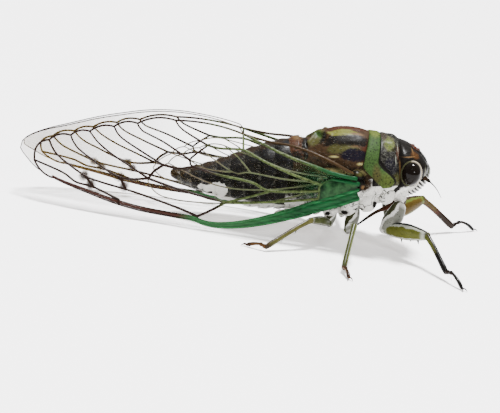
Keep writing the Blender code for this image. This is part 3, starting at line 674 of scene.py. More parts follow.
# Thorax
thorax = {
    "base": 0.5,
    "pronotum": ((4.15, 3.9, 4.55, 2.0, 0.35), (4.35, 4.7, 5.15, 2.0, 0.35), (4.9, 5.15, 5.6, 2.0, 0.4),
                 (5.6, 5.3, 5.75, 2.0, 0.5), (6.3, 5.45, 5.85, 2.0, 0.6), (7.0, 5.5, 5.8, 2.0, 0.7)),
    "collar": ((6.5, 5.55, 5.8, 2.0, 0.6), (6.62, 5.85, 5.98, 2.0, 0.62), (6.9, 6.0, 6.08, 2.0, 0.7),
               (7.3, 6.15, 6.15, 2.0, 0.8), (7.75, 6.15, 6.16, 2.0, 0.88), (7.95, 5.95, 6.05, 2.0, 0.9),
               (8.02, 5.5, 5.8, 2.0, 0.9)),
    "mesonotum": ((7.6, 4.6, 5.9, 2.0, 0.9), (8.2, 4.85, 6.22, 2.0, 0.9), (9.4, 4.95, 6.52, 2.0, 0.8),
                  (10.8, 4.9, 6.65, 2.0, 0.4), (12.2, 4.7, 6.52, 2.0, 0.1), (13.5, 4.4, 6.05, 2.0, 0.0),
                  (14.6, 4.15, 5.5, 1.9, 0.0), (15.5, 4.0, 5.15, 1.9, 0.0)),
    "metanotum": ((15.0, 3.9, 4.9, 1.9, 0.0), (15.6, 4.0, 5.25, 1.9, 0.0), (16.3, 4.0, 5.5, 1.8, 0.0),
                  (17.0, 4.0, 5.35, 1.8, 0.0), (17.7, 3.9, 5.0, 1.8, 0.0)),
    "underside": ((4.5, 4.3, 4.4, -1.4, 2.2), (4.9, 4.6, 4.5, -1.8, 2.2), (6.3, 4.95, 4.8, -2.5, 2.2),
                  (8.0, 5.05, 5.0, -3.0, 2.2), (9.5, 5.0, 5.2, -3.65, 2.2), (11.5, 4.9, 5.2, -3.9, 2.2),
                  (13.5, 4.6, 4.9, -3.72, 2.2), (15.5, 4.3, 4.4, -3.5, 2.2), (17.9, 4.1, 4.2, -3.3, 2.1)),
    "sidePlates": (
        ((5.9, 4.0, -1.0), (0.9, 0.65, 1.1), 0.5, 0.1), ((8.1, 4.2, -1.7), (1.05, 0.62, 1.3), 0.55, 0.0),
        ((10.3, 4.15, -2.1), (1.0, 0.6, 1.4), 0.5, 0.0), ((12.4, 3.95, -2.3), (1.0, 0.55, 1.3), 0.5, 0.0),
        ((14.6, 3.65, -2.4), (1.2, 0.5, 1.0), 0.3, 0.0)),
    "seams": ((6.3, 0.25), (9.0, 0.3), (11.4, 0.25), (13.9, 0.2)),
    "crossArms": (((14.1, 0.0), (12.9, 1.75)), ((14.1, 0.0), (15.2, 1.7))),
    "operculum": (16.9, 2.1, -3.7), "operculumRadii": (2.3, 1.6, 0.42),
}


# A place on a plate's section: an arch over the base, closed by a hollow that stays hidden inside the body
def archPlace(back, half, crown, full, bow, turn):
    rise, hollow = max(math.sin(turn), 0), min(math.sin(turn), 0) * 0.6
    out = half * signedPower(math.cos(turn), 2 / full)
    up = thorax["base"] + (crown - thorax["base"]) * rise ** (2 / full) + hollow
    return bodyPlace(back + bowed(bow, out), out if math.sin(turn) >= 0 else out * 0.9, up)


def plateSkin(name, step=0.1, rise=None, count=120):
    rows = thorax[name]
    rings = []
    for back in spaced(rows[0][0], rows[-1][0], step):
        section = between(rows, back)
        rings.append([archPlace(back, *section, math.tau * i / count) for i in range(count)])
    bm = skin(rings)
    return sculpt(bm, rise) if rise else bm


def pronotumRise(back, out, up):
    along = back - bowed(0.5, out)
    line = 6.2 - along
    fissure = -0.24 * hump(out, 0.9 + 0.95 * line, 0.15) * hump(along, 5.3, 0.9)
    fissure -= 0.22 * hump(out, 2.9 + 0.55 * line, 0.16) * hump(along, 5.5, 0.8)
    middle = -0.12 * hump(out, 0.0, 0.25) + 0.08 * hump(out, 0.55, 0.3)
    pads = 0.14 * hump(out, 2.2, 0.7) * hump(along, 5.1, 0.7)
    pads += 0.1 * hump(up, 3.0, 0.9) * hump(along, 5.2, 0.8)
    return fissure + middle + pads + 0.05 * ripple(back, out, up, 1.7) + 0.02 * ripple(back, out, up, 5.0)


def collarRise(back, out, up):
    return 0.035 * ripple(back, out, up, 1.4) + 0.02 * ripple(back, out, up, 4.0) - 0.05 * hump(out, 0, 0.25)


# The band widens forward into a lobe over the front leg's root
def collarShape():
    first, last, lobeUp = thorax["collar"][0], thorax["collar"][-1], 1.07
    bm = plateSkin("collar", 0.07)
    for vert in bm.verts:
        back, out, up = -vert.co.x, abs(vert.co.y), vert.co.z
        front, rear = first[0] + bowed(first[4], out), last[0] + bowed(last[4], out)
        share = (back - front) / (rear - front)
        front += -2.1 * smooth(up, 3.4, lobeUp) + 1.0 * min(max((lobeUp - up) / 0.9, 0), 1) ** 1.5
        rear -= 2.75 * min(max((2.7 - up) / 2.5, 0), 1)
        swell = 0.2 * smooth(up, 3.3, 1.1) * smooth(up, -0.2, 0.5) * (out > 5)
        vert.co = bodyPlace(front + (rear - front) * share, math.copysign(out + swell, vert.co.y), up)
    return sculpt(bm, collarRise)


def mesonotumRise(back, out, up):
    lines = -0.1 * hump(out, 1.05 + 0.16 * (back - 8.0), 0.13) * hump(back, 9.8, 1.7)
    lines -= 0.1 * hump(out, 3.1 + 0.1 * (back - 8.0), 0.14) * hump(back, 10.5, 1.8)
    dents = -0.3 * hump(back, 13.6, 0.45) * hump(out, 1.3, 0.75) * (up > 2)
    trough = -0.25 * hump(back, 14.9, 0.45) * hump(out, 0.0, 1.0)
    cross = 0.0
    for start, end in thorax["crossArms"]:
        length = Vector(end) - Vector(start)
        offset = Vector((back, out)) - Vector(start)
        share = min(max(offset.dot(length) / length.length_squared, 0), 1)
        cross = max(cross, 0.42 * hump((offset - length * share).length, 0, 0.3) * (up > 2.5))
    knob = 0.3 * hump(back, 14.1, 0.6) * hump(out, 0.0, 0.6)
    side = 0.12 * hump(up, 2.9, 0.6) * hump(back, 9.2, 1.0)
    return lines + dents + trough + max(cross, knob) + side + 0.03 * ripple(back, out, up, 1.5)


def metanotumRise(back, out, up):
    return -0.25 * hump(back, 16.0, 0.25) + 0.1 * hump(out, 2.2, 0.7) + 0.06 * ripple(back, out, up, 1.6)


def undersideRise(back, out, up):
    seams = 0.0
    for centre, slant in thorax["seams"]:
        seams -= 0.3 * hump(back, centre - slant * up, 0.2) * (up < 1.2)
    seams -= 0.22 * hump(up, -1.1 + 0.08 * (back - 8), 0.2) * hump(out, 4.9, 1.1)
    swell = 0.2 * hump(up, -2.0, 0.8) * (math.cos((back - 7.5) * math.tau / 2.6) * 0.5 + 0.5)
    return seams + swell + 0.07 * ripple(back, out, up, 1.3) + 0.03 * ripple(back, out, up, 3.5)


def makeThorax():
    pronotumFinish = chitin("pronotumChitin", black, (
        (olive, (5.75, 2.4, 5.1), (0.75, 1.7, 1.1), 0.2),
        (yellowGreen, (5.75, 2.5, 5.0), (0.5, 1.3, 0.7), 0.5),
        (brown, (6.2, 1.2, 5.7), (0.35, 1.2, 0.4), 0.3),
        (olive, (5.0, 4.95, 1.3), (1.1, 0.6, 0.7), 0.4),
        (redBrown, (4.6, 3.6, 4.2), (0.35, 1.2, 1.2), 0.4),
        (navy, (5.6, 4.9, 2.9), (0.7, 0.9, 1.2), 0.3),
        (silver, (4.75, 2.9, 4.85), (0.05, 0.9, 0.9), 0.5),
        (silver, (5.1, 4.4, 3.6), (0.05, 0.6, 0.8), 0.5),
    ), wobble=0.45, coat=0.03, dust=silver, dustAmount=0.5, mottle=0.8, creases=0.6, specks=0.6,
        rim=(black, 0.04, 0.86))
    pronotum = plateSkin("pronotum", rise=pronotumRise)
    finishPiece("pronotumPlate", pronotum, pronotumFinish, ["pronotum"])

    collarFinish = chitin("collarChitin", leaf, (
        (colour(0.05, 0.066, 0.015), (6.2, 5.7, 1.2), (1.2, 1.4, 0.9), 0.6),
        (olive, (7.5, 5.7, 1.9), (0.5, 1.4, 1.2), 0.5),
        (yellowGreen, (7.3, 1.2, 6.1), (0.6, 1.6, 0.5), 0.5),
        (black, (6.3, 5.9, -0.05), (2.2, 1.5, 0.22), 0.3),
    ), roughness=0.55, wobble=0.35, coat=0.0, mottle=0.4, dust=black, dustAmount=0.7, specks=0.75,
        rim=(black, 0.1, 0.94))
    finishPiece("collarBand", collarShape(), collarFinish, ["pronotal_collar"])

    mesonotumFinish = chitin("mesonotumChitin", brown, (
        (redBrown, (10.5, 0.3, 6.6), (3.2, 1.3, 0.5), 0.4),
        (redBrown, (8.6, 3.9, 4.9), (0.7, 1.6, 1.6), 0.5),
        (black, (10.9, 2.9, 5.5), (3.0, 1.1, 1.1), 0.15),
        (lime, (11.3, 1.75, 6.35), (1.9, 0.66, 0.75), 0.18),
        (tan, (9.2, 1.9, 6.2), (1.1, 0.22, 0.4), 0.3),
        (olive, (11.0, 3.75, 4.55), (1.7, 0.6, 0.6), 0.4),
        (navy, (10.0, 4.2, 4.0), (1.7, 0.9, 0.75), 0.2),
        (tan, (9.4, 3.5, 5.0), (1.1, 0.25, 0.25), 0.4),
        (cream, (9.2, 4.8, 2.95), (0.4, 0.5, 0.16), 0.7),
        (cream, (12.4, 4.2, 3.7), (0.5, 0.5, 0.12), 0.7),
        (olive, (12.4, 3.6, 4.6), (0.8, 0.6, 0.6), 0.4),
        (black, (13.7, 1.5, 5.6), (0.6, 1.3, 0.9), 0.2),
        (olive, (14.2, 0.0, 5.9), (0.85, 1.9, 0.9), 0.35),
        (leaf, (14.1, 1.0, 5.8), (0.5, 0.9, 0.5), 0.5),
        (olive, (14.7, 1.6, 5.2), (0.8, 0.9, 0.8), 0.35),
        (black, (12.6, 4.6, 1.6), (4.5, 1.0, 1.1), 0.3),
    ), roughness=0.45, wobble=0.35, coat=0.04, mottle=0.8, dust=tan, dustAmount=0.3, specks=0.5,
        rim=(black, 0.03, 0.97))
    mesonotum = plateSkin("mesonotum", rise=mesonotumRise)
    finishPiece("mesonotumPlate", mesonotum, mesonotumFinish, ["mesonotum"])

    metanotumFinish = chitin("metanotumChitin", colour(0.026, 0.011, 0.006), (
        (black, (15.6, 2.5, 4.6), (0.5, 3.0, 1.2), 0.3),
        (tan, (16.6, 0.9, 5.5), (0.8, 1.0, 0.4), 0.5),
        (black, (16.6, 3.7, 3.0), (2.0, 1.0, 1.5), 0.3),
    ), roughness=0.5, mottle=1.0, bumpDepth=0.00012, pitScale=2.6, dust=silver, dustAmount=0.35, creases=0.8,
        specks=0.6)
    metanotum = plateSkin("metanotum", rise=metanotumRise)
    finishPiece("metanotumPlate", metanotum, metanotumFinish, ["metanotum"])

    waxFinish = chitin("undersideWax", waxWhite, (
        (black, (7.4, 4.6, -1.9), (0.3, 1.5, 0.5), 0.3),
        (black, (9.2, 4.6, -2.5), (0.65, 1.5, 0.16), 0.3),
        (black, (10.9, 4.5, -2.9), (0.5, 1.5, 0.3), 0.4),
        (silver, (12.2, 4.4, -2.0), (1.1, 1.5, 0.6), 0.6),
        (black, (12.9, 4.3, -3.1), (0.3, 1.5, 0.3), 0.3),
        (brown, (9.2, 4.9, 0.8), (1.6, 0.9, 1.1), 0.3),
        (black, (16.5, 4.2, 0.5), (2.6, 1.0, 2.4), 0.3),
        (brown, (10.5, 4.5, 3.6), (8.5, 4.0, 2.7), 0.08),
        (cream, (12.0, 4.9, 2.0), (2.6, 0.6, 0.35), 0.8),
    ), roughness=0.75, coat=0.0, mottle=0.0, wobble=0.35, bumpDepth=0.00008, pitScale=3.0, dust=black,
        dustAmount=0.5, creases=0.9)
    underside = sculpt(rowSkin(thorax["underside"], 0.14, 112), undersideRise)
    finishPiece("undersideSkin", underside, waxFinish, ["thorax_underside"])
    plates = bothSides(lambda: balls(thorax["sidePlates"], 24, 16))
    sculpt(plates, lambda back, out, up: 0.09 * ripple(back, out, up, 2.2))
    finishPiece("sidePlates", plates, waxFinish)

    back, out, up = thorax["operculum"]
    for name, side in sides.items():
        cover = ball((back, side * out, up), thorax["operculumRadii"], 0.0, 0.0, 40, 24)
        sculpt(cover, lambda back, out, up: 0.05 * ripple(back, out, up, 1.5))
        finishPiece("operculum_" + name, cover, waxFinish, ["operculum_" + name])


# Abdomen
abdomen = {
    "rows": ((17.0, 4.1, 5.2, -3.4), (20.0, 4.2, 4.5, -3.5), (23.0, 3.9, 3.45, -3.15),
             (26.0, 3.2, 2.35, -2.2), (29.0, 2.0, 1.45, -1.05), (31.0, 1.2, 1.1, -0.15)),
    "start": 17.3, "end": 30.6, "segments": 8, "overlap": 0.22, "steps": 8, "full": 1.85,
    "tip": ((30.2, 1.1, 0.95, -0.35, 2.0), (30.9, 1.02, 1.1, -0.25, 2.0), (31.4, 0.8, 1.15, 0.0, 2.0),
            (31.75, 0.45, 1.05, 0.25, 2.0), (31.85, 0.12, 0.8, 0.5, 2.0)),
    "point": ((30.6, 0, -0.15), (31.4, 0, 0.05)),
}


def segmentEnds():
    length = abdomen["end"] - abdomen["start"]
    count = abdomen["segments"]
    return [abdomen["start"] + length * (1 - (1 - n / count) ** 1.15) for n in range(count + 1)]


def abdomenRise(back, out, up):
    keel = 0.06 * hump(out, 0.0, 0.5) * (up > 0)
    bottom = between(abdomen["rows"], back)[2]
    fold = -0.18 * hump(up, bottom * 0.62, 0.16) * (up < 0)
    return keel + fold + 0.035 * ripple(back, out, up, 2.2)


# A segment's skin, which tucks in under the next one
def segmentSkin(start, end):
    rings = []
    for share in (i / abdomen["steps"] for i in range(abdomen["steps"] + 1)):
        back = start + (end - start) * share
        half, top, bottom = between(abdomen["rows"], back)
        swell = -0.12 + 0.24 * min(share * 1.6, 1) - 0.1 * max(share - 0.85, 0) / 0.15
        rings.append(ovalRing(back, half + swell, top + swell, bottom - swell, abdomen["full"], 96))
    rings.append(ovalRing(end - 0.1, half - 0.25, top - 0.25, bottom + 0.25, abdomen["full"], 96))
    return sculpt(skin(rings), abdomenRise)


def makeAbdomen():
    finish, shader, place, local = startFinish("abdomenChitin", Coat_Weight=0.12, Coat_Roughness=0.12)
    back = place.part("X")
    up = back.other("Z")
    fine = grain(local, 4.0, 4.0, 0.6)
    edge = (grain(local, 1.4, 3.0) - 0.5) * 0.8
    mixed = paint(fade(fine, 0.35, 0.85), black, colour(0.012, 0.013, 0.017))
    mixed = paint(fade(up + back * 0.34 + edge * 0.3, 10.9, 11.2) * 0.6, mixed, brown)
    hairs = fade(grain(local, 5.0, 5.0, 0.75), 0.56, 0.66)
    mixed = paint(hairs * 0.2, mixed, silver)
    white = patch(place, (25.9, 2.9, -0.75), (1.1, 1.6, 1.15), edge * 1.5, 0.06)
    white = white.maths("MAXIMUM", patch(place, (27.2, 2.6, -0.65), (1.4, 1.9, 0.55), edge * 1.5, 0.06))
    mixed = paint(white, mixed, waxWhite)
    mixed = paint(patch(place, (28.6, 1.6, 0.2), (0.7, 0.9, 0.35), edge, 0.2), mixed, black)
    under = fade(up + back * -0.13 + edge * 0.25, -4.86, -5.0)
    spotted = fade(dots(local, 1.25), 0.2, 0.32)
    mixed = paint(under * spotted, mixed, waxWhite)
    link(shader, "Base Color", mixed)
    link(shader, "Roughness", 0.3 + white * 0.4 + hairs * 0.2)
    bump(shader, fine * 0.6 + dots(local, 5.0) * 0.5, 0.5, 0.00005)

    ends = segmentEnds()
    segments = [segmentSkin(start - abdomen["overlap"], end) for start, end in zip(ends, ends[1:])]
    finishPiece("abdomenPlates", addTo(*segments), finish, ["abdomen"])
    tip = addTo(rowSkin(abdomen["tip"], 0.1, 48), rod(bodyPlaces(abdomen["point"]), ((0, 0.28), (1, 0.12))))
    finishPiece("abdomenTip", tip, finish, ["abdomen_tip"])


# Wings
# Rows of the roof that the wings lie on: back, ridge, edge, out and roundness
roofRows = ((6.0, 6.4, 0.4, 6.0, 2.6), (14.0, 6.5, -1.3, 6.3, 2.9), (20.0, 6.5, -2.9, 6.5, 3.1),
            (26.0, 7.5, -4.3, 6.55, 2.3), (32.0, 8.3, -3.2, 6.4, 1.3), (38.0, 8.0, -1.7, 6.0, 1.0),
            (44.0, 6.6, 0.3, 4.7, 1.0), (50.0, 4.2, 3.0, 2.2, 1.0))
wing = {
    "ridgeOut": 0.8, "foreDepth": 0.12, "hindDepth": 1.15, "sheet": 0.03, "mesh": 0.6, "wave": 0.045,
    "veinSize": 1.35, "outerVeins": 1.3, "marginVein": 0.07, "hindMargin": 0.04,
    "smudges": (((37.55, 4.0, 1.05), (0.55, 8.0, 0.45)), ((36.95, 4.0, 0.1), (0.5, 8.0, 0.5)),
                ((41.7, 4.0, 1.15), (0.5, 8.0, 0.5)), ((40.85, 4.0, 0.25), (0.5, 8.0, 0.5))),
    "costaHeights": ((9.0, 1.2, 0.30), (14.0, 1.25, 0.28), (19.0, 1.0, 0.25), (24.0, 0.68, 0.2),
                     (27.5, 0.5, 0.15), (30.0, 0.5, 0.13), (38.0, 0.46, 0.12), (46.0, 0.22, 0.07)),
    "jointBalls": (
        ((9.55, 4.95, 1.7), (0.75, 0.7, 0.5), 0.5, 0.2), ((10.3, 5.35, 1.15), (0.8, 0.5, 0.45), 0.3, 0.1),
        ((9.3, 5.15, 0.6), (0.6, 0.6, 0.75), 0.2, 0.0), ((9.9, 5.45, 0.05), (0.75, 0.45, 0.35), -0.1, 0.0)),
    "jointStem": ((9.3, 4.2, 0.9), (10.2, 5.5, 0.9)), "hindStem": ((13.2, 3.9, 1.0), (14.0, 5.0, 1.0)),
}


def roofOut(back, up):
    ridge, edge, out, roundness = between(roofRows, back)
    down = (ridge - up) / (ridge - edge)
    return wing["ridgeOut"] + (out - wing["ridgeOut"]) * (1 - signedPower(1 - down, max(roundness, 1.0)))


def roofPlace(back, up, depth):
    step = 0.05
    point = Vector((back, roofOut(back, up), up))
    lengthwise = Vector((step, roofOut(back + step, up) - point.y, 0))
    upwards = Vector((0, roofOut(back, up + step) - point.y, step))
    normal = upwards.cross(lengthwise).normalized()
    if normal.y < 0:
        normal.negate()
    point -= normal * depth
    return bodyPlace(*point)


foreSpots = {
    "root": (9.6, 0.9), "analRoot": (9.9, 1.5), "clavalRoot": (10.3, 2.1), "costaRoot": (9.6, -1.0),
    "cellTop": (12.6, 1.4), "cellCubital": (14.0, 0.75), "cellMedian": (14.1, 0.05),
    "cellRadial": (14.2, -0.9), "clavalEnd": (23.0, 6.0), "cubitalBend": (23.0, 4.4), "joint": (25.0, -1.4),
    "node": (28.3, -3.1), "medianFork": (19.7, 0.0), "medianUpper": (28.8, 2.4), "cubitalCross": (29.3, 3.2),
    "cubitalFork": (27.2, 4.8), "medianThird": (32.4, 2.5), "medianLow": (34.1, 1.0),
    "secondTop": (37.5, 1.1), "secondFoot": (36.7, -0.2), "firstTop": (41.6, 1.2), "firstFoot": (40.5, 0.0),
    "radialFork": (37.5, -1.3), "margin1": (31.1, 7.4), "margin2": (35.6, 7.0), "margin3": (38.4, 6.6),
    "margin4": (41.3, 6.0), "margin5": (43.6, 5.5), "margin6": (46.2, 4.9), "margin7": (47.8, 2.7),
    "costaEnd": (45.5, 0.9),
}
foreVeins = (                                           # places along each vein, then its two end radii
    (("analRoot", (12.6, 2.1), (14.6, 2.8), (18.2, 4.0), (20.6, 5.0), "clavalEnd"), 0.2, 0.08),
    (("cellTop", "cellCubital", "cellMedian", "cellRadial"), 0.12, 0.12),
    (("root", "cellTop"), 0.2, 0.14),
    (("cellCubital", (18.2, 2.3), (21.0, 3.5), "cubitalBend", (25.6, 4.5), "cubitalFork"), 0.13, 0.08),
    (("cubitalBend", "clavalEnd"), 0.07, 0.07),
    (("cubitalFork", (30.2, 6.4), "margin1"), 0.08, 0.06),
    (("cubitalFork", "cubitalCross", "medianUpper"), 0.07, 0.07),
    (("cubitalCross", (32.4, 5.0), (35.0, 6.2), "margin2"), 0.08, 0.06),
    (("cellMedian", "medianFork", (22.1, 1.0), (26.0, 1.7), "medianUpper", (30.5, 2.2),
      "medianThird"), 0.13, 0.08),
    (("medianFork", (23.0, -0.9), "joint"), 0.09, 0.1),
    (("medianThird", (35.3, 4.1), (37.6, 5.5), "margin3"), 0.08, 0.06),
    (("medianThird", (33.5, 1.8), "medianLow"), 0.09, 0.09),
    (("medianLow", (36.3, 2.3), (38.4, 3.5), (40.2, 4.8), "margin4"), 0.08, 0.06),
    (("medianLow", "secondTop", (41.4, 3.3), (42.9, 4.4), "margin5"), 0.09, 0.06),
    (("joint", (30.4, -0.1), "medianLow"), 0.09, 0.09),
    (("cellRadial", (19.8, -1.3), "joint"), 0.12, 0.12),
    (("joint", (26.6, -2.3), "node"), 0.12, 0.12),
    (("node", (30.4, -2.2), (34.0, -1.0), "secondFoot", (39.5, 0.5), "firstTop", (44.6, 3.0), (45.6, 3.9),
      "margin6"), 0.12, 0.07),
    (("secondTop", "secondFoot"), 0.12, 0.12),
    (("firstTop", "firstFoot"), 0.12, 0.12),
    (("radialFork", "firstFoot", (42.6, 0.5), (44.3, 1.5), "margin7"), 0.09, 0.07),
    (("radialFork", (37.5, -1.8)), 0.09, 0.09),
)
foreMargin = (("clavalEnd", "margin1", 0.35), ("margin1", "margin2", 0.45), ("margin2", "margin3", 0.35),
              ("margin3", "margin4", 0.35), ("margin4", "margin5", 0.3), ("margin5", "margin6", 0.35),
              ("margin6", "margin7", 0.75), ("margin7", "costaEnd", 0.3))
foreCosta = ("costaRoot", (11.9, -1.75), (14.2, -2.4), (17.0, -3.2), (20.0, -3.9), (22.4, -4.3),
             (24.4, -4.45), (26.2, -4.4), (27.6, -4.1), (28.9, -3.6), (31.3, -3.2), (34.9, -2.55),
             (38.4, -1.6), (41.2, -0.65), (44.0, 0.3), "costaEnd")
foreEdge = ("costaEnd", (47.5, 1.9), (48.8, 3.0), (49.7, 3.9), (49.6, 4.6), (48.6, 5.3), (46.6, 6.0),
            (44.0, 6.6), (40.6, 7.4), (37.6, 7.9), (34.4, 8.3), (31.0, 8.3), (28.0, 7.9), (25.4, 7.3),
            (23.4, 6.6), "clavalEnd")
clavalEdge = ("clavalEnd", (21.5, 5.6), (19.6, 5.2), (17.3, 4.9), (15.1, 4.3), (12.6, 3.3), "clavalRoot")
hindSpots = {
    "root": (13.2, 1.0), "analRoot": (13.2, 1.7), "costaRoot": (13.2, 0.2), "crossLow": (22.2, 2.3),
    "crossHigh": (24.3, 2.3), "margin1": (25.3, 5.3), "margin2": (28.3, 4.9), "margin3": (30.4, 4.0),
    "margin4": (32.0, 3.0), "tip": (34.3, 1.0), "costaEnd": (32.4, -0.8),
}
hindVeins = (
    (("root", (17.4, 1.4), "crossLow", "crossHigh", "margin2"), 0.09, 0.05),
    (("crossLow", (23.6, 4.0), "margin1"), 0.07, 0.05),
    (("crossHigh", (27.6, 2.6), "margin3"), 0.07, 0.05),
    (("root", (20.0, 0.1), (26.0, 0.6), "margin4"), 0.09, 0.05),
    (("analRoot", (17.4, 2.6), (20.6, 3.8), "margin1"), 0.08, 0.05),
    (("costaRoot", (20.0, -1.5), (26.0, -1.6), (30.0, -1.3), "costaEnd"), 0.12, 0.06),
)
hindMargin = (("margin1", "margin2", 0.3), ("margin2", "margin3", 0.25), ("margin3", "margin4", 0.25),
              ("margin4", "tip", 0.3), ("tip", "costaEnd", 0.3))
hindEdge = ("margin1", (23.4, 5.0), (20.6, 4.2), (17.4, 3.3), (15.0, 2.4), "analRoot")


def spotLine(spots, names, step):
    return smoothLine([spots[name] if isinstance(name, str) else name for name in names], step)


def scallop(start, end, sag):
    start, end = Vector(start), Vector(end)
    across = Vector((end.y - start.y, start.x - end.x)).normalized()
    return [start.lerp(end, t) - across * sag * 4 * t * (1 - t) for t in (i / 8 for i in range(9))]


def veinTube(line, startRadius, endRadius, depth):
    path = [roofPlace(point.x, point.y, depth) for point in line]
    start, end = (radius * wing["veinSize"] * (wing["outerVeins"] if radius < 0.1 else 1)
                  for radius in (startRadius, endRadius))
    return rod(path, ((0, start), (0.35, start * 0.55 + end * 0.45), (1, end)), 1.0, 6, (0, 1, 0), 2)


# One membrane: its outline is filled, cut into strips both ways, laid on the roof and given a thickness
def membraneSheet(outline, depth, thickness=wing["sheet"]):
    bm = bmesh.new()
    bm.faces.new([bm.verts.new((point[0], 0, point[1])) for point in outline])
    for i, normal in enumerate((Vector((1, 0, 0)), Vector((0, 0, 1)))):
        low, high = (pick(point[i] for point in outline) for pick in (min, max))
        for at in spaced(low, high, wing["mesh"])[1:-1]:
            bmesh.ops.bisect_plane(bm, geom=bm.verts[:] + bm.edges[:] + bm.faces[:], dist=0.001,
                                   plane_co=normal * at, plane_no=normal)
    for vert in bm.verts:
        wave = wing["wave"] * noise.noise(Vector((vert.co.x * 0.8, 0, vert.co.z * 0.8)))
        vert.co = roofPlace(vert.co.x, vert.co.z, depth + wave)
    bmesh.ops.triangulate(bm, faces=bm.faces)
    facesOut(bm)
    bmesh.ops.solidify(bm, geom=bm.faces[:], thickness=thickness)
    return facesOut(bm)


def foreOutline():
    costa = spotLine(foreSpots, foreCosta, 1.0)
    edge = spotLine(foreSpots, foreEdge, 0.7)[1:-1]
    claval = spotLine(foreSpots, clavalEdge, 0.8)
    return costa + edge + claval + [Vector(foreSpots["analRoot"]), Vector(foreSpots["root"])]


def hindOutline():
    outline = spotLine(hindSpots, hindVeins[-1][0], 1.0)
    for start, end, sag in hindMargin[::-1]:
        outline += scallop(hindSpots[end], hindSpots[start], -sag)[1:]
    return outline + spotLine(hindSpots, hindEdge, 1.0)[1:] + [Vector(hindSpots["root"])]


# The net of a wing: its veins, with their radii scaled, and the scallops along its margin
def wingVeins(spots, veins, margin, marginRadius, depth, startSize=1.0, endSize=1.0):
    tubes = [veinTube(spotLine(spots, names, 0.4), start * startSize, end * endSize, depth)
             for names, start, end in veins]
    for start, end, sag in margin:
        line = smoothLine(scallop(spots[start], spots[end], sag), 0.4)
        tubes.append(veinTube(line, marginRadius, marginRadius, depth))
    return tubes


def foreWingVeins():
    depth = wing["foreDepth"]
    tubes = wingVeins(foreSpots, foreVeins, foreMargin, wing["marginVein"], depth)
    edge = spotLine(foreSpots, foreEdge, 0.7)
    tubes.append(veinTube(smoothLine(edge, 0.6), 0.035, 0.035, depth))
    tubes.append(veinTube(spotLine(foreSpots, clavalEdge[::-1], 0.4), 0.15, 0.1, depth))
    return addTo(*tubes)


def hindWingVeins():
    tubes = wingVeins(hindSpots, hindVeins, hindMargin, wing["hindMargin"], wing["hindDepth"], 0.85, 0.7)
    stem = rod(bodyPlaces(wing["hindStem"]), ((0, 0.5), (1, 0.35)), 1.0, 14)
    return addTo(*tubes, stem)


# The thick front edge: two ridges, with a leathery strip between them that thins out beyond the node
def costalParts():
    low = spotLine(foreSpots, foreCosta, 0.4)
    lower, upper, middle, lowRadii, stripRadii = [], [], [], [], []
    for i, point in enumerate(low):
        height, radius = between(wing["costaHeights"], point.x)
        for line, rise in ((lower, radius * 0.5), (upper, height), (middle, height / 2)):
            line.append(roofPlace(point.x, point.y + rise, wing["foreDepth"]))
        lowRadii.append((i / (len(low) - 1), radius))
        stripRadii.append(height / 2)
    strip = skin(tubeRings(middle, stripRadii, 0.9, 10, (0, 1, 0)))
    centre = {vert: min(middle, key=lambda point: (point - vert.co).length_squared) for vert in strip.verts}
    for vert, point in centre.items():
        vert.co.y = point.y + (vert.co.y - point.y) * 0.3
    ridges = [rod(line, scaled(lowRadii, size), 1.0, 10, (0, 1, 0))
              for line, size in ((lower, 1.0), (upper, 0.75))]
    return addTo(*ridges), strip


# The green cell at the wing's root, thick and nearly opaque
def rootCell():
    outline = [(9.9, -0.2), (11.8, -0.9), (13.6, -1.3)]
    outline += [foreSpots[name] for name in ("cellRadial", "cellMedian", "cellCubital", "cellTop", "root")]
    return membraneSheet(outline, wing["foreDepth"] - 0.13, 0.1)


def rootJoint():
    stem = rod(bodyPlaces(wing["jointStem"]), ((0, 0.85), (1, 0.7)), 1.0, 20)
    return addTo(balls(wing["jointBalls"], 24, 16), stem)


def clearFinish():
    clear, shader, place, local = startFinish("wingClear", Roughness=0.12, IOR=1.35)
    back = place.part("X")
    wobble = (grain(local, 1.6, 3.0) - 0.5) * 1.1
    smudge = None
    for centre, radii in wing["smudges"]:
        spot = patch(place, centre, radii, wobble, 0.5)
        smudge = smudge.maths("MAXIMUM", spot) if smudge else spot
    warm = paint(fade(back, 25.0, 40.0), colour(0.05, 0.04, 0.02), colour(0.13, 0.085, 0.015))
    warm = paint(fade(back, 19.0, 14.5), warm, colour(0.012, 0.045, 0.018))
    link(shader, "Base Color", paint(smudge, warm, colour(0.02, 0.011, 0.005)))
    glaze = fade(back, 18.0, 13.0) * fade(back.other("Z") + back * -0.34, -2.0, -2.5)
    tint = fade(back, 27.0, 36.0) * 0.06 + fade(back, 32.0, 48.0) * 0.16
    link(shader, "Alpha", 0.014 + smudge * 0.68 + glaze * 0.3 + tint)
    bump(shader, grain(local, 1.2, 3.0), 0.25, 0.00008)
    return clear


def veinFinish():
    green, shader, place, local = startFinish("veinChitin", Coat_Weight=0.15, Coat_Roughness=0.15)
    back = place.part("X")
    height = back.other("Z")
    fine = grain(local, 3.0, 3.0)
    tone = paint(fade(fine, 0.25, 0.75), colour(0.014, 0.02, 0.006), colour(0.075, 0.10, 0.035))
    tone = paint(fade(back + height * -0.6, 15.0, 11.0), tone, colour(0.004, 0.04, 0.012))
    tone = paint(fade(back + height * -0.2 + (grain(local, 0.5) - 0.5) * 2.0, 24.4, 27.0), tone, veinDark)
    tone = paint(fade(height + back * -0.31 + (fine - 0.5) * 0.1, -1.3, -1.12), tone,
                 paint(fine, veinDark, colour(0.05, 0.03, 0.011)))
    link(shader, "Base Color", tone)
    link(shader, "Roughness", 0.3 + fine * 0.2)
    bump(shader, grain(local, 6.0, 2.0), 0.3, 0.00002)
    return green


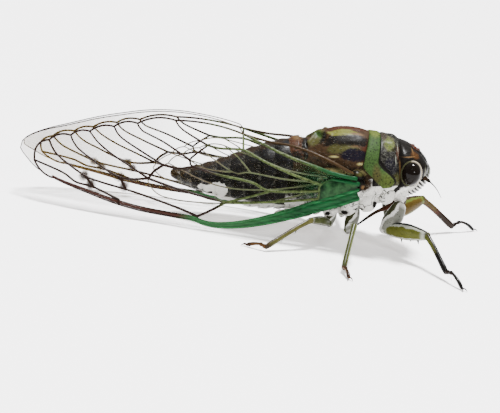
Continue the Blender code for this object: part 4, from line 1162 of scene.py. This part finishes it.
# Green of the front edge, drawn out along it, with a painted highlight: a pale streak along the middle
def costaFinish(name, near, beyond, highlightStreak):
    costa, shader, place, local = startFinish(name, Coat_Weight=0.25, Coat_Roughness=0.1)
    back = place.part("X")
    fine = grain(local.vector("MULTIPLY", (0.22, 1.5, 1.5)), 2.6, 4.0)
    # Mask of the painted highlight: a pale streak along the middle of each ridge and of the strip
    middle = fade(wayPart(place, "Z").maths("ABSOLUTE") + (fine - 0.5) * 0.8, 0.55, 0.2)
    tone = paint(fade(fine, 0.3, 0.75), darkEmerald, near)
    tone = paint(fade(back, 15.0, 25.0) * 0.4, tone, paleGreen)
    # Painted highlight: the pale green streak over the green
    tone = paint(middle * highlightStreak, tone, colour(0.075, 0.17, 0.07))
    tone = paint(fade(back + (fine - 0.5) * 2.0, 28.2, 31.0), tone, beyond)
    link(shader, "Base Color", tone)
    link(shader, "Roughness", 0.22 + fine * 0.2)
    bump(shader, fine, 0.4, 0.00004)
    return costa


def makeWings():
    clear, green = clearFinish(), veinFinish()
    # The last number is the strength of the painted highlight streak
    ridge = costaFinish("costaRidge", colour(0.012, 0.1, 0.03), veinDark, 0.7)
    groove = costaFinish("costaGroove", emerald, colour(0.034, 0.012, 0.008), 0.35)
    cell, shader, place, local = startFinish("rootCellSkin", Coat_Weight=0.15, Roughness=0.3)
    mask = fade(grain(local, 1.1, 4.0), 0.35, 0.7)
    link(shader, "Base Color", paint(mask, colour(0.002, 0.011, 0.004), colour(0.018, 0.055, 0.019)))
    bump(shader, grain(local, 3.0, 3.0), 0.5, 0.00006)
    jointFinish = chitin("wingJointChitin", black, (
        (olive, (9.5, 5.2, 1.85), (0.5, 0.6, 0.25), 0.5),
        (tan, (9.0, 5.3, 0.4), (0.25, 0.8, 0.25), 0.5),
        (leaf, (10.3, 5.5, 1.2), (0.5, 0.5, 0.3), 0.5),
    ), roughness=0.3, wobble=0.4)
    hindVein = chitin("hindVeinChitin", colour(0.06, 0.07, 0.035), (
        (colour(0.085, 0.07, 0.045), (32, 4, 1), (7, 9, 9), 0.4),
    ))

    for name, side in sides.items():
        foreSheet = membraneSheet(foreOutline(), wing["foreDepth"])
        hindSheet = membraneSheet(hindOutline(), wing["hindDepth"])
        ridges, strip = costalParts()
        for label, part, finish, slot, nodes in (
                ("foreMembrane_", foreSheet, clear, "wing_membrane", ()),
                ("foreVeins_", foreWingVeins(), green, "wing_vein", ["forewing_" + name]),
                ("costalRidges_", ridges, ridge, "wing_vein", ()),
                ("costalStrip_", strip, groove, "wing_vein", ()),
                ("rootCell_", rootCell(), cell, "wing_vein", ()),
                ("wingJoint_", rootJoint(), jointFinish, "back", ()),
                ("hindMembrane_", hindSheet, clear, "wing_membrane", ()),
                ("hindVeins_", hindWingVeins(), hindVein, "wing_vein", ["hindwing_" + name])):
            finishPiece(label + name, mirrored(part) if side < 0 else part, finish, nodes)


# Legs: floor places of each joint, from the hip to the toe
legSpots = {
    "front_right": (
        (17.4, -2.9, 5.4), (16.1, -3.8, 2.6), (20.4, -8.2, 3.65), (22.3, -12.7, 1.0), (23.7, -15.6, 0.2)),
    "front_left": (
        (17.5, 2.9, 5.4), (17.6, 3.6, 2.6), (22.2, 7.0, 4.5), (27.4, 10.1, 0.85), (30.9, 12.5, 0.2)),
    "middle_right": (
        (12.2, -2.6, 4.4), (11.8, -3.9, 1.9), (11.6, -10.0, 4.0), (10.5, -15.5, 0.6), (10.9, -17.6, 0.2)),
    "middle_left": (
        (12.2, 2.6, 4.4), (11.8, 3.9, 1.9), (11.9, 9.6, 4.1), (10.9, 14.7, 0.6), (11.4, 16.8, 0.2)),
    "hind_right": (
        (9.2, -2.4, 4.2), (9.6, -3.3, 2.3), (6.9, -7.5, 3.3), (2.0, -11.5, 0.5), (-0.1, -10.8, 0.2)),
    "hind_left": (
        (9.2, 2.4, 4.2), (9.6, 3.3, 2.3), (6.3, 7.4, 3.1), (2.4, 11.3, 0.5), (0.3, 11.0, 0.2)),
}
legShapes = {                                           # radii along coxa, femur and tibia
    "front": (((0, 0.9), (0.3, 1.1), (0.7, 1.05), (1, 0.6)),
              ((0, 0.5), (0.2, 0.75), (0.5, 0.9), (0.8, 0.7), (1, 0.45)),
              ((0, 0.42), (0.12, 0.36), (0.6, 0.33), (0.9, 0.36), (1, 0.32))),
    "middle": (((0, 0.8), (0.3, 0.9), (0.7, 0.8), (1, 0.5)),
               ((0, 0.4), (0.25, 0.55), (0.6, 0.55), (0.85, 0.45), (1, 0.36)),
               ((0, 0.4), (0.12, 0.35), (0.6, 0.32), (0.92, 0.34), (1, 0.3))),
    "hind": (((0, 0.8), (0.3, 0.9), (0.7, 0.75), (1, 0.5)),
             ((0, 0.4), (0.25, 0.55), (0.6, 0.52), (0.85, 0.42), (1, 0.34)),
             ((0, 0.38), (0.12, 0.31), (0.6, 0.29), (0.92, 0.33), (1, 0.28))),
}
footShape = ((0, 0.25), (0.12, 0.27), (0.2, 0.18), (0.28, 0.26), (0.36, 0.18), (0.5, 0.18), (0.9, 0.23),
             (1, 0.19))
# Tints of edge, panel, border and knee, then the panel's ends, the spots and the roughness
limbLooks = {
    "coxaWax": (colour(0.025, 0.027, 0.01), silver, waxWhite, brown, (0.05, 0.95), 0.6, 0.5),
    "frontFemur": (black, colour(0.085, 0.09, 0.014), colour(0.27, 0.28, 0.23), olive, (0.1, 0.9), 0.4),
    "farFrontFemur": (brown, colour(0.09, 0.058, 0.012), yellowGreen, olive, (0.1, 0.9), 0.4),
    "hindFemur": (colour(0.02, 0.022, 0.009), colour(0.055, 0.066, 0.018), silver, brown, (0.05, 0.9), 0.7),
    "frontTibia": (black, colour(0.07, 0.08, 0.014), olive, black, (-0.1, 0.5), 0.3),
    "farFrontTibia": (colour(0.012, 0.006, 0.003), colour(0.075, 0.05, 0.016), redBrown, black,
                      (-0.1, 0.5), 0.2),
    "middleTibia": (colour(0.025, 0.03, 0.01), colour(0.13, 0.17, 0.06), olive, brown, (-0.1, 0.85), 0.8),
    "hindTibia": (colour(0.022, 0.014, 0.006), colour(0.09, 0.085, 0.025), olive, brown, (-0.1, 0.85), 0.5),
    "frontFoot": (black, veinDark, black, black, (0.0, 0.6), 0.0),
    "hindFoot": (colour(0.018, 0.008, 0.004), colour(0.08, 0.035, 0.01), brown, black, (0.0, 0.8), 0.2),
}
# Looks of femur, tibia and foot, sizes of femur and tibia, the foot's lift, then length and radius of spikes
legTraits = {
    "front_right": ("frontFemur", "frontTibia", "frontFoot", 1.12, 1.0, 0.5, 0.47, 0.06),
    "front_left": ("farFrontFemur", "farFrontTibia", "frontFoot", 1.3, 1.2, 0.75, 0.47, 0.06),
    "middle": ("hindFemur", "middleTibia", "hindFoot", 1.0, 1.0, 0.28, 0.47, 0.06),
    "hind": ("hindFemur", "hindTibia", "hindFoot", 1.0, 1.0, 0.28, 0.7, 0.09),
}
femurSpikes = ((0.42, 1.15), (0.62, 0.8), (0.8, 0.95))  # share of the front femur, and length
tibiaSpikes = ((0.3, -1), (0.45, 1), (0.6, -1), (0.75, 1), (0.88, 1), (0.96, 1))    # share, and up or down


def spike(base, way, radius, count=6):
    path = [base, base + way * 0.5, base + way]
    return skin(tubeRings(path, [radius, radius * 0.6, radius * 0.05], 1.0, count))


def claw(toe, way, up):
    path = [toe, toe + way * 0.35 + up * 0.1, toe + way * 0.62 - up * 0.02, toe + way * 0.72 - up * 0.17]
    return rod(smoothLine(path, 0.08), ((0, 0.1), (0.5, 0.075), (1, 0.02)), 1.0, 8)


# Light panel on a limb's sides between dark edges
def limbFinish(name, edgeTint, panelTint, borderTint, knee, panel, spotted, roughness=0.34):
    finish, shader, place, local = startFinish(name, Coat_Weight=0.3, Coat_Roughness=0.15)
    share = wayPart(place, "X")
    across = share.other("Y").maths("ABSOLUTE")
    fine = grain(local, 3.5, 4.0, 0.6)
    wobble = (grain(local, 2.0, 2.0) - 0.5) * 0.35
    ragged = share + wobble * 0.3
    start, end = panel
    border = fade(across + wobble, 0.4, 0.55) * fade(ragged, start - 0.06, start + 0.04)
    border *= 1.0 - fade(ragged, end - 0.04, end + 0.06)
    inner = fade(across + wobble, 0.7, 0.82) * fade(share, start + 0.02, start + 0.1)
    inner *= 1.0 - fade(share, end - 0.12, end - 0.03)
    tone = paint(fine * 0.6 + grain(local, 0.9) * 0.5, shaded(panelTint, 0.3), panelTint)
    mixed = paint(inner, paint(border, edgeTint, borderTint), tone)
    mixed = paint(fade(share, 0.9, 1.0), mixed, knee)
    mixed = paint(fade(dots(local, 3.2), 0.28, 0.16) * spotted, mixed, black)
    link(shader, "Base Color", mixed)
    link(shader, "Roughness", roughness + (fine - 0.5) * 0.3)
    bump(shader, fine + dots(local, 4.0) * 0.4, 0.45, 0.00004)
    return finish


def makeLegs():
    finishes = {name: limbFinish(name, *look) for name, look in limbLooks.items()}
    spikeFinish = chitin("spikeChitin", black, (), roughness=0.25)
    floorUp = (toBody.to_3x3() @ Vector((0, 0, 1))).normalized()
    for leg, spots in legSpots.items():
        pair, sideName = leg.split("_")
        side = sides[sideName]
        hip, trochanter, knee, ankle, toe = (floorPlace(*spot) for spot in spots)
        coxaShape, femurShape, tibiaShape = legShapes[pair]
        traits = legTraits[leg if pair == "front" else pair]
        femurLook, tibiaLook, footLook, femurSize, tibiaSize, lift, spikeLength, spikeRadius = traits

        if pair == "front":
            hip += Vector((0, side * 0.7, 0))
        middle = hip.lerp(trochanter, 0.5) + Vector((0.15, side * 0.25, 0))
        coxa = rod(smoothLine([hip, middle, trochanter], 0.2), coxaShape, 0.95, 24)

        start = trochanter.lerp(knee, 0.03)
        bend = trochanter.lerp(knee, 0.5) + floorUp * 0.12
        femur = rod(smoothLine([start, bend, knee], 0.15), scaled(femurShape, femurSize), 0.75, 28)
        path = [trochanter - floorUp * 0.1, trochanter.lerp(knee, 0.08)]
        knuckle = rod(path, ((0, 0.46), (1, 0.5)), 0.85, 20)

        shin = ankle - knee
        arc = knee.lerp(ankle, 0.35) + shin.cross(floorUp).cross(shin).normalized() * 0.12
        tibia = rod(smoothLine([knee, arc, ankle], 0.15), scaled(tibiaShape, tibiaSize), 0.9, 20)

        path = [ankle, ankle.lerp(toe, 0.35) + floorUp * lift, ankle.lerp(toe, 0.72) + floorUp * lift * 0.8,
                toe + floorUp * 0.06]
        foot = rod(smoothLine(path, 0.08), footShape, 0.95, 16)
        ahead = toe - ankle
        ahead = (ahead - floorUp * ahead.dot(floorUp)).normalized()
        across = ahead.cross(floorUp)
        claws = [claw(toe, (ahead + across * turn).normalized(), floorUp) for turn in (-0.45, 0.45)]

        for part, bm, look, slot in (("coxa_", coxa, "coxaWax", "underside"),
                                     ("femur_", addTo(femur, knuckle), femurLook, "leg"),
                                     ("tibia_", tibia, tibiaLook, "leg"),
                                     ("tarsus_", addTo(foot, *claws), footLook, "foot")):
            finishPiece(part + leg, bm, finishes[look], [part + leg])

        spikes = []
        if pair == "front":
            for share, length in femurSpikes:
                base = trochanter.lerp(knee, share) - floorUp * 0.4
                way = (knee - trochanter).normalized() * 0.35 - floorUp * length * 0.8
                spikes.append(spike(base, way, 0.2, 10))
        for share, turn in tibiaSpikes:
            outwards = (floorUp * 0.5 * turn + across * 0.4 * turn).normalized()
            way = outwards * spikeLength + shin.normalized() * 0.28
            spikes.append(spike(knee.lerp(ankle, share), way, spikeRadius))
        finishPiece("spikes_" + leg, addTo(*spikes), spikeFinish)


# Hair: thin three-sided spikes in joined meshes, each with its own spot in the OFBake map
hair = {
    "mapLength": 62.0, "mapSpot": 0.0015, "mapStrips": 20, "tip": 0.08, "sunk": 0.42, "floorGap": 0.04,
    "abdomen": {"count": 2600, "range": (17.6, 30.8), "onEdge": 0.55, "edgeGap": (0.05, 0.4), "back": 1.0,
                "lift": (0.25, 0.7), "ruffle": (0, 0.3, 0.3), "length": (0.35, 0.7), "thickness": 0.011},
    "underside": {"count": 1100, "range": (4.9, 17.0), "back": 0.8,
                  "lift": (0.4, 0.9), "ruffle": (0, 0.4, 0.4), "length": (0.3, 0.6), "thickness": 0.013},
    "plate": {"rows": (("pronotum", 4.6, 6.4, 420), ("mesonotum", 8.3, 15.2, 420),
                       ("metanotum", 15.7, 17.4, 160)), "back": 1.0,
              "lift": (0.2, 0.6), "ruffle": (0, 0.3, 0), "length": (0.18, 0.4), "thickness": 0.011},
    # Rows give the surface radius and count on femur, tibia and foot, and the range is a share of each
    "limb": {"rows": ((0.42, 60), (0.24, 90), (0.15, 30)), "range": (0.05, 0.95), "rootDepth": 0.85,
             "ahead": 0.8, "lift": (0.5, 1.0), "length": (0.2, 0.38), "thickness": 0.014},
}


def hairPiece(name, roots, finish, thickness):
    bm = bmesh.new()
    patches = bm.loops.layers.uv.new("OFBake")
    for root, way, length, spot in roots:
        turn = Vector((0, 0, 1)).rotation_difference(way).to_matrix().to_4x4()
        place = Matrix.Translation(root + way * length * hair["sunk"]) @ turn
        made = bmesh.ops.create_cone(bm, cap_ends=True, segments=3, radius1=thickness,
                                     radius2=thickness * hair["tip"], depth=length, matrix=place)["verts"]
        for n, vert in enumerate(made):
            angle = math.tau * n / len(made)
            for loop in vert.link_loops:
                loop[patches].uv = Vector(spot) + Vector((math.cos(angle), math.sin(angle))) * hair["mapSpot"]
    finishPiece(name, bm, finish, smooth=False)


# A root as (place, direction, length, spot): the hair points back, lifted off the surface and ruffled
def hairRoot(kind, place, outwards, spot):
    habit = hair[kind]
    way = Vector((-habit["back"], 0, 0)) + outwards * random.uniform(*habit["lift"])
    way += Vector([random.uniform(-part, part) if part else 0 for part in habit["ruffle"]])
    return place, way.normalized(), random.uniform(*habit["length"]), spot


def abdomenRoot(ends):
    habit = hair["abdomen"]
    edge = random.choice(ends) - random.uniform(*habit["edgeGap"])
    back = edge if random.random() < habit["onEdge"] else random.uniform(*habit["range"])
    turn = random.uniform(0, math.tau)
    half, top, bottom = between(abdomen["rows"], back)
    outwards = Vector((0, math.cos(turn) / half, math.sin(turn) / (top - bottom) * 2)).normalized()
    return hairRoot("abdomen", ovalPlace(back, half, top, bottom, abdomen["full"], turn), outwards,
                    (back / hair["mapLength"], 0.5 + 0.45 * turn / math.tau))


def undersideRoot():
    back, turn = random.uniform(*hair["underside"]["range"]), random.uniform(math.pi, math.tau)
    place = ovalPlace(back, *between(thorax["underside"], back), turn)
    return hairRoot("underside", place, Vector((0, math.cos(turn), math.sin(turn))),
                    (back / hair["mapLength"], 0.45 * turn / math.tau))


def plateRoot(name, low, high):
    back, turn = random.uniform(low, high), random.uniform(0.1, math.pi - 0.1)
    place = archPlace(back, *between(thorax[name], back), turn)
    return hairRoot("plate", place, Vector((0, math.cos(turn), math.sin(turn))),
                    (back / hair["mapLength"], 0.5 + 0.45 * turn / math.pi))


# Roots on a limb's length, without the hairs that would reach the floor
def limbRoots(start, end, radius, count, strip):
    habit = hair["limb"]
    ahead = (end - start).normalized()
    first = ahead.cross(Vector((0, 0, 1))).normalized()
    second = ahead.cross(first)
    roots = []
    for n in range(count):
        share, turn = random.uniform(*habit["range"]), random.uniform(0, math.tau)
        outwards = first * math.cos(turn) + second * math.sin(turn)
        root = start.lerp(end, share) + outwards * radius * habit["rootDepth"]
        way = (ahead * habit["ahead"] + outwards * random.uniform(*habit["lift"])).normalized()
        length = random.uniform(*habit["length"])
        spot = (0.1 + 0.8 * share, (strip + 0.8 * turn / math.tau) / hair["mapStrips"])
        if (toFloor @ (root + way * length)).z > hair["floorGap"]:
            roots.append((root, way, length, spot))
    return roots


def makeHair():
    silverHair, *_ = plainFinish("silverHair", 1.0, colour(0.07, 0.07, 0.06), colour(0.24, 0.235, 0.2),
                                 Roughness=0.5)
    darkHair, *_ = plainFinish("darkHair", 1.0, colour(0.01, 0.008, 0.006), colour(0.06, 0.04, 0.02),
                               Roughness=0.4)
    ends = segmentEnds()[1:]
    roots = [abdomenRoot(ends) for n in range(hair["abdomen"]["count"])]
    hairPiece("abdomenHair", roots, silverHair, hair["abdomen"]["thickness"])
    roots = [undersideRoot() for n in range(hair["underside"]["count"])]
    hairPiece("undersideHair", roots, silverHair, hair["underside"]["thickness"])
    roots = [plateRoot(*row) for *row, count in hair["plate"]["rows"] for n in range(count)]
    hairPiece("backHair", roots, silverHair, hair["plate"]["thickness"])
    roots = []
    strip = 0                                           # each limb piece has its own strip of the map
    for spots in legSpots.values():
        joints = [floorPlace(*spot) for spot in spots[1:]]
        for start, end, (radius, count) in zip(joints, joints[1:], hair["limb"]["rows"]):
            strip += 1
            roots += limbRoots(start, end, radius, count, strip)
    hairPiece("legHair", roots, darkHair, hair["limb"]["thickness"])


stages = {"camera": makeCamera, "studio": makeStudio, "head": makeHead, "thorax": makeThorax,
          "abdomen": makeAbdomen, "wings": makeWings, "legs": makeLegs, "hair": makeHair}
for name, make in stages.items():
    make()
    print(name, "made")
